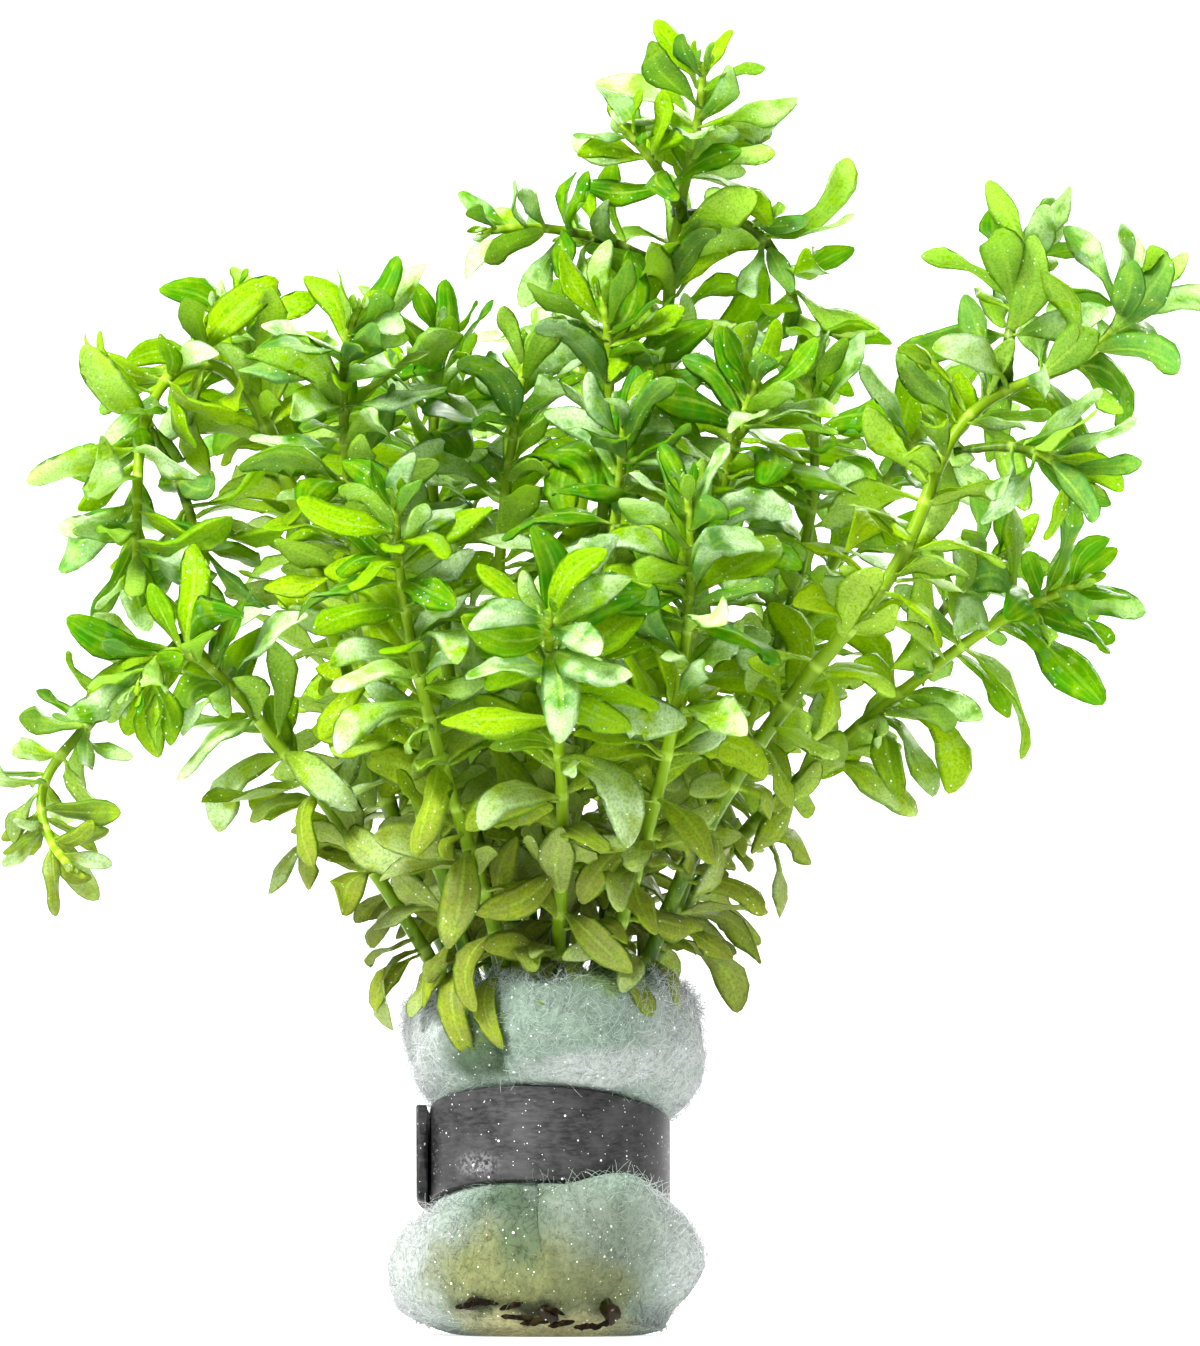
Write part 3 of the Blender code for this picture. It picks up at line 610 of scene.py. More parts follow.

# %% [markdown]
# The lowest leaves hang over the rim of the wool. These few are set one by one where the
# photograph shows them, with one leaf as thin as a hair near the top.

# %% Leaves set one by one
# Stem, the height it leaves at, compass angle, pitch, bend, length and width, in millimetres and
# degrees
HAND_SET = [
    ("stem_left_tall", 49.5, 250, 84, 96, 14.0, 4.0),
    ("stem_front_left", 49.0, 257, 78, 100, 12.5, 2.9),
    ("stem_left_low", 51.5, 206, 62, 150, 13.0, 3.4),
    ("stem_left_low", 49.0, 232, 80, 70, 9.0, 3.4),
    ("stem_front", 50.5, 296, 80, 60, 8.0, 3.2),
    ("stem_front_right", 50.5, 318, 84, 70, 9.0, 3.4),
    ("stem_right_high", 50.0, 322, 88, 60, 8.0, 3.0),
    ("stem_left_tall", 53.0, 215, 95, 60, 10.0, 3.3),
    ("stem_middle_left", 52.0, 262, 80, 80, 15.0, 3.6),
    ("stem_front", 50.0, 262, 70, 50, 9.0, 3.4),
    ("stem_front", 54.0, 320, 60, 60, 9.5, 3.4),
    ("stem_front_left", 51.5, 290, 55, 50, 9.0, 3.3),
    ("stem_front_right", 52.0, 285, 60, 70, 9.0, 3.4),
    ("stem_inner_front", 51.0, 280, 60, 60, 9.0, 3.4),
    ("stem_right_inner", 51.0, 265, 70, 40, 8.5, 3.3),
    ("stem_right_middle", 51.0, 300, 50, 60, 9.0, 3.3),
    ("stem_middle_left", 50.0, 235, 60, 50, 9.0, 3.2),
    ("shoot_tall_left", 147.9, 190, 80, -35, 8.5, 0.7),
]
HAND_SET_ORDER = 12  # as old as the twelfth pair from a tip


def set_by_hand(name, height, compass, pitch, bend, length, width):
    """A leaf that leaves its stem where it first passes a height, towards a compass angle."""
    stem = bunch.stems[name]
    distance = stem.along[np.argmax(stem.curve[:, 2] > height * MM)]
    _, tangent, side = stem.at(distance)
    heading = np.array([math.cos(math.radians(compass)), math.sin(math.radians(compass)), 0])
    azimuth = math.atan2(heading @ np.cross(tangent, side), heading @ side)
    leaf = Leaf(stem, distance, azimuth, math.radians(pitch), math.radians(bend), 0.0, length * MM)
    leaf.width, leaf.twist = width * MM, 0.0
    stem.leaves.append((HAND_SET_ORDER, leaf))


for row in HAND_SET:
    set_by_hand(*row)
print("set by hand:", len(HAND_SET))

# %% [markdown]
# ## Soft lumps
#
# Wool and lead are never quite even. A cloud is a field of smooth random lumps: every corner of
# a grid of cubes holds a random number, and between the corners the numbers are blended. Adding
# a coarse cloud, a finer one and a very fine one gives a surface its large and small swellings.

# %% Clouds of random lumps
CLOUD = np.random.default_rng(3).uniform(-1, 1, (32, 32, 32))


def cloud(points, size, start=0.0):
    """A smooth random value from -1 to 1 at each point, with lumps of about that size."""
    place = points / size + start
    cell = np.floor(place).astype(int)
    share = place - cell
    share = share**2 * (3 - 2 * share)
    value = np.zeros(points.shape[:-1])
    for corner in np.ndindex(2, 2, 2):
        weight = np.prod(np.where(corner, share, 1 - share), axis=-1)
        value += weight * CLOUD[tuple(np.moveaxis((cell + corner) % len(CLOUD), -1, 0))]
    return value


def smooth_step(value, low, high):
    """0 below low, 1 above high and a soft rise between."""
    share = np.clip((value - low) / (high - low), 0, 1)
    return share**2 * (3 - 2 * share)


# %% [markdown]
# ## The shape of a blade
#
# A leaf is widest past its middle, narrows to a short foot and has a rounded tip. Its middle
# is sunk along the midrib, its edges curl back a little, and it is seldom quite straight.
# Eight points round each of eleven rings give that, so a bunch of hundreds of leaves stays
# light. The rings stand closer together at the foot and at the tip, where the outline turns.

# %% Blades
BLADE_SHARES = 0.5 - 0.5 * np.cos(np.linspace(0, math.pi, 11))
BLADE_AROUND = np.arange(8) * math.tau / 8
BLADE_THICKNESS = 0.34 * MM
# Each as a share of the half width, with its chance either way
BLADE_FOLD, BLADE_CURL = (0.28, 0.30), (0.30, 0.32)
BLADE_WAVE, BLADE_WAVES = 0.28, 1.4
BLADE_SWAY = 0.18
EXTRA_BEND = 0.35
LEAF_SWELL = 1.08  # beside the solid's blade, whose few corners lie on the outline
BUD_LENGTHS = (3.6 * MM, 2.2 * MM)
shape_luck = np.random.default_rng(5)


def blade_outline(shares):
    """Half width as a share of the greatest: a power of the way out times one of the way left."""
    middle = 2.55 * shares**0.72 * (1 - shares) ** 0.58
    return np.maximum(middle, 0.26 * (1 - shares) ** 2) + 0.01


def blade_rings(leaf, order, luck):
    """Rings of one blade and, for each point, its place across, along and up through it.

    A point stands off the midrib by the outline times the cosine of its angle, and off the
    blade's middle layer by the thickness times the sine. The whole is lifted by a fold that
    grows with the distance from the midrib and lowered by a curl that grows with its cube. A
    blade that curls more also droops more.
    """
    leaf.bend += EXTRA_BEND * luck[1]
    leaf.length *= LEAF_SWELL
    leaf.width *= LEAF_SWELL
    across, upward = leaf.cross(BLADE_SHARES)
    half = 0.5 * leaf.width * blade_outline(BLADE_SHARES)
    cosine, sine = np.cos(BLADE_AROUND), np.sin(BLADE_AROUND)
    fold, curl = about(BLADE_FOLD, luck[0]), about(BLADE_CURL, luck[1])
    wave = BLADE_WAVE * np.sin(math.tau * (BLADE_WAVES * BLADE_SHARES + luck[2]))
    lift = (fold * np.abs(cosine) - curl * np.abs(cosine) ** 3)[None] + wave[:, None] * cosine
    thick = 0.5 * BLADE_THICKNESS * (1.3 - BLADE_SHARES)[:, None] * sine
    sway = BLADE_SWAY * luck[3] * leaf.length * np.sin(math.pi * BLADE_SHARES)
    out = half[:, None] * cosine + sway[:, None]
    up = half[:, None] * lift + thick
    rings = (leaf.spine(BLADE_SHARES)[:, None] + out[..., None] * across[:, None]
             + up[..., None] * upward[:, None])
    rings[0] -= 0.5 * MM * leaf.out
    along = np.broadcast_to(BLADE_SHARES[:, None], out.shape)
    place = np.stack([np.broadcast_to(cosine, out.shape), along,
                      np.broadcast_to(sine, out.shape)], -1)
    tone = [shape_luck.uniform(), min(1, order / OLDEST), luck[4] ** 2]
    tone = np.broadcast_to(tone, place.shape)
    return np.concatenate([rings, place, tone], -1)


def bud_leaves(stem):
    """The smallest leaves, still closed round the growing tip."""
    turns = len(stem.nodes) * math.pi / 2
    for rank, length in enumerate(BUD_LENGTHS, 1):
        for opposite in (0, math.pi):
            yield Leaf(stem, stem.length - TIP_GAP / (1 + rank), turns * rank + opposite,
                       math.radians(26 / rank), math.radians(-20), 0.0, length * stem.leaf_size)


def all_blades(stem):
    """The blades of a stem as one array (blades, rings, sides, 9)."""
    leaves = stem.leaves + [(0, leaf) for leaf in bud_leaves(stem)]
    return np.stack([blade_rings(leaf, order, shape_luck.uniform(-1, 1, 5))
                     for order, leaf in leaves])


# %% [markdown]
# ## The shape of a stem
#
# The stem is juicy and nearly round, with a swollen ring where each leaf pair sits and four
# faint ridges that run down from the leaves. A ring of points every 0.9 mm is close enough to
# draw those swellings. A side shoot reaches back into the stem that it grew from.

# %% Stems
STEM_AROUND = np.arange(10) * math.tau / 10
STEM_RING_STEP = 0.9 * MM
STEM_SLIM = 0.88  # beside the solid
NODE_SWELL, NODE_REACH = 0.13, 0.9 * MM
STEM_RIDGES = 0.045
TORN_REACH = 4 * MM
SHOOT_ROOT = 2.4 * MM


def stem_rings(stem):
    """Rings of one stem, with each point's nearness to a node, share of length and distance.

    The radius is the stem's own, swollen by a bell curve at each node, times a four-sided
    ripple round the stem. A stem that comes out at the front of the foot is torn at its end.
    """
    first = -SHOOT_ROOT if stem.is_shoot else 0.0
    distance = np.linspace(first, stem.length, round(stem.length / STEM_RING_STEP))
    centre, tangent, side = stem.at(distance)
    across = np.cross(tangent, side)
    off_node = np.abs(distance[:, None] - np.array(stem.nodes)).min(axis=1)
    at_node = np.exp(-(off_node / NODE_REACH) ** 2)
    radius = STEM_SLIM * stem.radius(distance) * (1 + NODE_SWELL * at_node)
    radius = radius[:, None] * (1 + STEM_RIDGES * np.cos(4 * STEM_AROUND))
    if stem.curve[0, 2] > MM:
        torn = smooth_step(-distance, -TORN_REACH, 0)[:, None]
        ragged = cloud(centre[:, None] + 3 * radius[..., None] * side[:, None]
                       * np.cos(STEM_AROUND)[:, None], 0.9 * MM)
        radius = radius * (1 + torn * (0.5 * ragged - 0.1 + 0.45 * np.cos(2 * STEM_AROUND)))
    rings = (centre[:, None] + (radius * np.cos(STEM_AROUND))[..., None] * side[:, None]
             + (radius * np.sin(STEM_AROUND))[..., None] * across[:, None])
    from_cut = distance / (100 * MM) if not stem.is_shoot else np.ones_like(distance)
    facts = np.stack([at_node, distance / stem.length, from_cut], -1)
    return np.concatenate([rings, np.broadcast_to(facts[:, None], rings.shape)], -1)[None]


# %% [markdown]
# ## Materials from nodes
#
# A Blender material is a graph. Writing one means many short steps of adding a node, setting
# it and wiring it up, so a small class takes those steps and the materials below read as what
# they do. Patterns are measured in millimetres on the object itself.

# %% A helper for node materials
class Finish:
    """A material's nodes. Each call adds one, wires what it is given and returns its output."""

    def __init__(self, name):
        self.material = bpy.data.materials.new(name)
        self.material.use_nodes = True
        self.tree = self.material.node_tree
        self.shader = self.tree.nodes["Principled BSDF"]
        self.output = self.tree.nodes["Material Output"]
        self.place = self.add("ShaderNodeTexCoord", {}).outputs["Object"]

    def add(self, kind, inputs, **settings):
        node = self.tree.nodes.new(kind)
        for key, value in settings.items():
            setattr(node, key, value)
        self.set(node, inputs)
        return node

    def set(self, node, inputs):
        for key, value in inputs.items():
            if isinstance(value, bpy.types.NodeSocket):
                self.tree.links.new(value, node.inputs[key])
            else:
                node.inputs[key].default_value = value

    def attribute(self, name):
        """The three numbers of a point attribute."""
        vector = self.add("ShaderNodeAttribute", {}, attribute_name=name).outputs["Vector"]
        return self.add("ShaderNodeSeparateXYZ", {"Vector": vector}).outputs

    def math(self, operation, a, b=0.0):
        return self.add("ShaderNodeMath", {0: a, 1: b}, operation=operation).outputs[0]

    def times(self, a, b):
        return self.math("MULTIPLY", a, b)

    def step(self, value, low, high, start=0.0, end=1.0):
        """A smooth step from start to end while value goes from low to high."""
        return self.add("ShaderNodeMapRange",
                        {"Value": value, "From Min": low, "From Max": high, "To Min": start,
                         "To Max": end}, interpolation_type="SMOOTHSTEP").outputs[0]

    def noise(self, size_mm, detail=2.0, rough=0.5, stretch=(1, 1, 1)):
        """Soft noise whose blotches are about size_mm across."""
        place = self.add("ShaderNodeMapping", {"Vector": self.place, "Scale": stretch})
        return self.add("ShaderNodeTexNoise",
                        {"Vector": place.outputs[0], "Scale": 1000 / size_mm, "Detail": detail,
                         "Roughness": rough}).outputs[0]

    def specks(self, spacing_mm, radius_mm):
        """Round specks of about that radius, on points spread at about that spacing."""
        cell = self.add("ShaderNodeTexVoronoi",
                        {"Vector": self.place, "Scale": 1000 / spacing_mm})
        reach = radius_mm / spacing_mm
        return self.step(cell.outputs["Distance"], reach, 0.6 * reach)

    def away(self, place, middle_mm, reach_mm):
        """How far a place is from a middle, counted along each axis in that axis's reach."""
        scale = [1 / (MM * reach) for reach in reach_mm]
        spot = self.add("ShaderNodeMapping", {"Vector": place, "Scale": scale})
        centre = [middle * MM * k for middle, k in zip(middle_mm, scale)]
        return self.add("ShaderNodeVectorMath", {0: spot.outputs[0], 1: centre},
                        operation="DISTANCE").outputs["Value"]

    def mix(self, share, a, b):
        """Colour a where share is 0 and colour b where it is 1."""
        node = self.add("ShaderNodeMix", {0: share, 6: a, 7: b}, data_type="RGBA")
        return node.outputs[2]

    def bump(self, height, distance_mm, strength=1.0):
        return self.add("ShaderNodeBump", {"Height": height, "Distance": distance_mm * MM,
                                           "Strength": strength}).outputs[0]

    def let_light_through(self, share, colour):
        """Mixes in a translucent shader, for thin things with light behind them."""
        glow = self.add("ShaderNodeBsdfTranslucent", {"Color": colour})
        blend = self.add("ShaderNodeMixShader",
                         {0: share, 1: self.shader.outputs[0], 2: glow.outputs[0]})
        self.tree.links.new(blend.outputs[0], self.output.inputs["Surface"])


# %% [markdown]
# ## Leaf and stem colours
#
# Each leaf is a fresh or a deep green by chance, grown ones are sunnier, and those low down near
# the wool are yellow-olive. The midrib is a pale line. Many upper sides carry a painted silvery
# sheen, and the undersides a fainter one. Light comes through the thin blade and turns
# yellow-green on its way. Tiny air bubbles cling to it as white specks. The bubbles are there,
# and their white is a painted glint. They are colour only, so they are drawn in the material and
# not modelled.

# %% Leaf material
FRESH = (0.22, 0.41, 0.0005, 1)
DEEP = (0.021, 0.175, 0.0002, 1)
OLIVE = (0.21, 0.20, 0.05, 1)
SUNNY = (0.32, 0.44, 0.0005, 1)
PAINTED_SHEEN = (0.58, 0.73, 0.49, 1)
RIB = (0.42, 0.60, 0.09, 1)
BUBBLE_GLINT = (0.92, 0.96, 0.93, 1)
GLOW_GREEN = (0.56, 0.74, 0.0005, 1)
GLOW_OLIVE = (0.30, 0.31, 0.04, 1)
OLIVE_BETWEEN = (88 * MM, 56 * MM)  # heights: green above the first, olive below the second
LIT_THROUGH = 0.6


def leaf_finish():
    """Green by chance, age and height, paler on the rib, with a painted silvery sheen in part and
    clinging bubbles painted as white glints.
    """
    leaf = Finish("leaf")
    across, along, upper = leaf.attribute("blade")[:3]
    chance, age, pale = leaf.attribute("leaf")[:3]
    green = leaf.mix(leaf.step(chance, 0.3, 0.65), FRESH, DEEP)
    green = leaf.mix(leaf.step(age, 0.25, 0.8, 0.0, 0.75), green, SUNNY)
    height = leaf.add("ShaderNodeSeparateXYZ", {"Vector": leaf.place}).outputs["Z"]
    old = leaf.step(height, *OLIVE_BETWEEN)
    green = leaf.mix(leaf.times(old, 0.85), green, OLIVE)
    green = leaf.mix(leaf.step(leaf.noise(2.2, 4), 0.35, 0.75, 0.0, 0.5), green, SUNNY)
    green = leaf.mix(leaf.step(leaf.noise(0.7, 5, 0.7), 0.5, 0.3, 0.0, 0.4), green, DEEP)
    # painted sheen, silvery: faint on every underside, and in patches on the upper sides of many
    # leaves, more towards the tip and on young ones
    below = leaf.step(upper, 0.1, -0.4, 0.0, 0.12)
    sheen = leaf.step(leaf.noise(4, 3), 0.3, 0.6)
    sheen = leaf.times(sheen, leaf.step(along, 0.05, 0.7))
    sheen = leaf.times(sheen, leaf.step(pale, 0.3, 0.65, 0.0, 0.95))
    sheen = leaf.times(sheen, leaf.step(age, 0.8, 0.45, 0.25, 1.0))
    sheen_share = leaf.math("MAXIMUM", below, sheen)
    green = leaf.mix(sheen_share, green, PAINTED_SHEEN)
    off_rib = leaf.math("ABSOLUTE", across)
    green = leaf.mix(leaf.step(off_rib, 0.75, 1.0, 0.0, 0.4), green, DEEP)
    rib = leaf.times(leaf.step(off_rib, 0.15, 0.03),
                    leaf.step(along, 1.0, 0.2, 0.1, 0.55))
    green = leaf.mix(rib, green, RIB)
    green = leaf.mix(leaf.step(along, 0.16, 0.0, 0.0, 0.7), green, RIB)
    vein = leaf.math("SINE", leaf.times(across, 17.0))
    green = leaf.mix(leaf.step(vein, 0.2, 1.0, 0.0, 0.12), green, RIB)
    grain = leaf.noise(0.35, 3)
    green = leaf.mix(leaf.step(grain, 0.56, 0.36, 0.0, 0.4), green, DEEP)
    # air bubbles in patches, drawn as painted white glints
    bubble_glints = leaf.times(leaf.specks(1.15, 0.15), leaf.step(leaf.noise(7), 0.42, 0.58))
    colour = leaf.mix(bubble_glints, green, BUBBLE_GLINT)
    relief = leaf.math("ADD", leaf.times(grain, 0.35), leaf.times(rib, -1.0))
    relief = leaf.math("ADD", relief, leaf.times(vein, 0.15))
    leaf.set(leaf.shader, {"Base Color": colour,
                           "Roughness": leaf.step(grain, 0.3, 0.7, 0.28, 0.46),
                           "Specular IOR Level": 0.05,
                           "Normal": leaf.bump(relief, 0.12, 0.5)})
    glow = leaf.mix(old, GLOW_GREEN, GLOW_OLIVE)
    leaf.let_light_through(LIT_THROUGH, leaf.mix(0.32, colour, glow))
    return leaf.material


LEAF = leaf_finish()

# %% Stem material
STEM_FRESH = (0.14, 0.25, 0.002, 1)
STEM_LOW = (0.022, 0.062, 0.001, 1)
NODE_PALE = (0.42, 0.60, 0.09, 1)
CUT_BROWN = (0.010, 0.006, 0.003, 1)
FRONT_CUT_REACH = 0.065  # 6.5 mm, in the attribute's tenths of a metre


def stem_finish():
    """Pale green, streaked lengthways, paler at the nodes and dark brown where it was cut."""
    stem = Finish("stem")
    at_node, share, distance = stem.attribute("stem")[:3]
    green = stem.mix(stem.step(share, 0.3, 0.75), STEM_LOW, STEM_FRESH)
    streak = stem.noise(0.9, 3, 0.6, stretch=(1, 1, 0.12))
    green = stem.mix(stem.step(streak, 0.42, 0.7, 0.0, 0.5), green, STEM_FRESH)
    green = stem.mix(stem.step(at_node, 0.45, 0.95, 0.0, 0.35), green, NODE_PALE)
    scar = stem.step(at_node, 0.55, 0.9)
    scar = stem.times(scar, stem.step(stem.noise(3.5), 0.6, 0.7))
    green = stem.mix(stem.times(scar, 0.7), green, CUT_BROWN)
    cut = stem.step(distance, FRONT_CUT_REACH, 0.3 * FRONT_CUT_REACH)
    colour = stem.mix(cut, green, CUT_BROWN)
    # air bubbles on the stem, drawn as painted white glints
    bubble_glints = stem.times(stem.specks(1.3, 0.13), stem.step(stem.noise(9), 0.45, 0.6))
    colour = stem.mix(bubble_glints, colour, BUBBLE_GLINT)
    stem.set(stem.shader, {"Base Color": colour, "Roughness": 0.36, "Specular IOR Level": 0.12,
                           "Normal": stem.bump(streak, 0.15, 0.5)})
    stem.let_light_through(0.22, stem.mix(0.3, colour, SUNNY))
    return stem.material


STEM = stem_finish()

# %% [markdown]
# ## Putting each stem together
#
# A stem and its leaves grew as one piece, so they are one mesh with two materials. It takes
# the place of the coarse CAD stem, which stays behind it as what other things bump into.

# %% Stems with leaves
def build_plant(name, stem):
    """One stem with all its blades as a single piece, in place of the CAD node of that name."""
    tube, blades = stem_rings(stem), all_blades(stem)
    tube_at, blades_at = tube_points(tube), tube_points(blades)
    stem_faces = tube_faces(*tube.shape[:3])
    leaf_faces = [faces + len(tube_at) for faces in tube_faces(*blades.shape[:3])]
    nothing = np.zeros((len(tube_at), 3))
    attributes = {"stem": np.vstack([tube_at[:, 3:], np.zeros((len(blades_at), 3))]),
                  "blade": np.vstack([nothing, blades_at[:, 3:6]]),
                  "leaf": np.vstack([nothing, blades_at[:, 6:]])}
    material_of = np.repeat([0, 1], [sum(map(len, stem_faces)), sum(map(len, leaf_faces))])
    piece = new_piece(name + "_grown", np.vstack([tube_at[:, :3], blades_at[:, :3]]),
                      [*stem_faces, *leaf_faces], attributes, [STEM, LEAF], material_of)
    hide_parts(name)
    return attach(piece, "root")


plants = [build_plant(name, stem) for name, stem in bunch.stems.items()]
print("plant faces:", sum(len(plant.data.polygons) for plant in plants))

# %% [markdown]
# ## The roll of wool
#
# The stems are rolled in a mat of filter wool. The lead strip pinches the roll to a waist, so it
# swells above and below, and the outer turn of the mat ends on the inner one at a fold that runs
# down the front. The section of the roll is drawn once, as a smooth line through a few corners,
# and turned about the bunch. The fold is an overhang: just there the columns of points run back
# under the outer turn before they come out round its edge.

# %% The section and the fold
# Radius and height of the corners, in millimetres: up the inside, and out along the foot
WOOL_CHANNEL = [(17.0, 45.2), (13.8, 41.5), (11.0, 36.5), (8.7, 31), (8.1, 27), (8.1, 14),
                (8.1, 0)]
WOOL_FOOT = [(8.1, 0), (10.5, 0), (13.0, 0), (17.2, 1.5)]
WOOL_INSET = 0.5 * MM  # what the fibres fill
WOOL_WAIST = (15.9 * MM, 30.1 * MM)
WOOL_STEP = 0.7 * MM
WOOL_COLUMNS = 230
# The lumps: their rise and size in millimetres, and where in the cloud they start
WOOL_LUMPS = [(0.9, 9, 0.0), (0.45, 3.6, 7.3), (0.22, 1.5, 2.1), (0.12, 0.8, 5.2)]
VALLEY_DEPTH = 1.0 * MM
FOOT_LEAN = 2.2 * MM
RIGHT_SWELL = 3.4 * MM
RIM_LUMPS = 0.8 * MM
OVER_STRIP, OVER_STRIP_AT = 3.4 * MM, (305, 26)  # how far the wool bulges up over it, and where
FOLD_ANGLE = math.radians(252)
FOLD_TURN = math.radians(15)  # the fold comes out further right below the strip
FOLD_CLOSES = (4 * MM, 13 * MM)
BAND_CENTRE_Z = 23.0 * MM
BAND_SLOPE_X, BAND_SLOPE_Y = -0.05, -0.25
STRIP_HEIGHT = 12.6 * MM
STRIP_INSIDE = 14.55 * MM
STRIP_OUTSIDE = 16.05 * MM

# Round the fold: degrees past it, and how much of the outer turn's step stands out there. Towards
# the foot the fold closes up, and its columns of points go round evenly.
FOLD_LIP = [(0, 0.02), (4, 0.06), (6, 0.22), (3, 0.36), (0, 0.50), (-1.8, 0.70), (-1, 0.92),
            (2, 1.0)]


def band_z(x, y):
    """Height of the strip's middle, which sits askew."""
    return BAND_CENTRE_Z + BAND_SLOPE_X * x + BAND_SLOPE_Y * y


def bell_of(value, middle, width):
    """1 at the middle, falling off over the given width to both sides."""
    return np.exp(-((value - middle) / width) ** 2)


def bell(angle, middle, width):
    """The same round the bunch, for an angle in radians and a middle and width in degrees."""
    return bell_of((np.degrees(angle) - middle + 180) % 360 - 180, 0, width)


def wool_columns():
    """Angle, evened-out angle and outer-turn share of each column: once round, then the lip."""
    share = np.linspace(0, 1, WOOL_COLUMNS)
    angle = FOLD_ANGLE + np.radians(5 + 351 * share)
    lip_angle, lip_share = np.array(FOLD_LIP).T
    even_angle = np.linspace(-3.5, 4.5, len(lip_angle))
    return (np.append(angle, FOLD_ANGLE + math.tau + np.radians(lip_angle)),
            np.append(angle, FOLD_ANGLE + math.tau + np.radians(even_angle)),
            np.append(1 - share, lip_share))


def wool_swell(points, angle, height):
    """How far the roll swells out: waves round it, a full right side and four sizes of lumps."""
    swell = (0.5 * np.sin(3 * angle + 0.4) + 0.4 * np.sin(5 * angle + 400 * height)) * MM
    low_down = smooth_step(height, 16 * MM, 2 * MM)
    swell += FOOT_LEAN * np.cos(angle) * low_down * (height / MM - 7) / 7
    right = np.maximum(0, np.cos(angle))
    fullness = bell_of(height, 18 * MM, 4 * MM) - smooth_step(height, 15 * MM, 5 * MM)
    swell += RIGHT_SWELL * right * fullness
    return swell + sum(rise * cloud(points, size * MM, start)
                       for rise, size, start in WOOL_LUMPS) * MM


def set_askew(points, angle, height, outside):
    """Tilts the roll like the strip at its waist, and raises its rim to the front, with lumps."""
    low, high = WOOL_WAIST
    top = WOOL_SIDE[-1][1] * MM
    askew = np.clip(np.minimum(height / low, (top - height) / (top - high)), 0, 1)
    tilt = BAND_SLOPE_X * points[..., 0] + BAND_SLOPE_Y * points[..., 1]
    points[..., 2] += np.where(outside, askew * tilt, 0)
    rim = smooth_step(height, 40 * MM, 44 * MM)
    points[..., 2] += rim * RIM_RISE * np.maximum(0, np.cos(angle - math.radians(290)))
    points[..., 2] += rim * RIM_LUMPS * cloud(points, 3 * MM, 4.4)


def wool_surface():
    """Points of the roll as an array (columns, round the section, 3).

    Radius and height come from the section. Outside the waist the radius gains the outer turn's
    step and the swelling. Under the strip it can't pass the strip's inner face.
    """
    corners = WOOL_FOOT + WOOL_SIDE[1:] + WOOL_CHANNEL
    section = smooth_curve([(r * MM, 0, z * MM) for r, z in corners], WOOL_STEP)[:-1]
    angle, even_angle, outer_turn = (column[:, None] for column in wool_columns())
    radius, height = section[:, 0] + 0 * angle, section[:, 2] + 0 * angle
    closed = smooth_step(height, FOLD_CLOSES[1], FOLD_CLOSES[0])
    angle = angle + closed * (even_angle - angle)
    outer_turn = outer_turn + closed * (0.5 - outer_turn)
    valley = bell(angle, math.degrees(FOLD_ANGLE) - 5, 9) * (1 - closed)
    angle = angle + FOLD_TURN * smooth_step(-height, -28 * MM, -14 * MM)
    outside = np.arange(len(section)) < np.argmax(section[:, 2])
    loose = smooth_step(radius, 14.6 * MM, 17 * MM) * outside * smooth_step(height, 0, 4 * MM)
    radius += (LAYER_STEP * outer_turn - WOOL_INSET - VALLEY_DEPTH * valley) * loose
    round_axis = np.stack([np.cos(angle) + 0 * radius, np.sin(angle) + 0 * radius], -1)
    points = np.concatenate([radius[..., None] * round_axis, height[..., None]], -1)
    radius += wool_swell(points, angle, height) * loose
    points[..., :2] = radius[..., None] * round_axis
    set_askew(points, angle, height, outside)
    beside = np.abs(points[..., 2] - band_z(points[..., 0], points[..., 1])) - STRIP_HEIGHT / 2
    most = STRIP_INSIDE - 0.2 * MM + 9 * np.maximum(0, beside - 0.15 * MM)
    over = bell(angle, *OVER_STRIP_AT) * smooth_step(radius, STRIP_OUTSIDE + 0.2 * MM, 18 * MM)
    points[..., 2] += np.where(height < 20 * MM, OVER_STRIP * over, 0)
    points[..., :2] = np.minimum(radius, most)[..., None] * round_axis
    return points


wool_grid = wool_surface()
print("wool grid:", wool_grid.shape[:2])

# %% [markdown]
# ## Colours of the wool
#
# Clean filter wool is white with a breath of mint. Here it is stained: olive in the lower half,
# green where leaves lie on its rim, and brown round the cut ends. Painted shade darkens the
# creases beside the fold and the wool under the strip. Painted light whitens the outer turn
# right of the fold and the roll's left and right sides. All of these but the sides are soft balls
# of colour at their places in the roll. The loose fibres take the same colours, so both use one
# function.

# %% Wool materials
WOOL_MINT = (0.208, 0.274, 0.234, 1)
WOOL_PAINTED_LIGHT = (0.53, 0.535, 0.555, 1)
WOOL_OLIVE = (0.17, 0.178, 0.068, 1)
WOOL_SHADE = (0.05, 0.08, 0.045, 1)
WOOL_GREEN = (0.15, 0.25, 0.04, 1)
WOOL_STRAW = (0.52, 0.48, 0.24, 1)
WOOL_BROWN = (0.014, 0.010, 0.004, 1)
WOOL_DULL = (0.15, 0.16, 0.12, 1)
FIBRE_MINT = (0.34, 0.42, 0.37, 1)
WANDER = 6  # how far the stains' edges stray, in millimetres
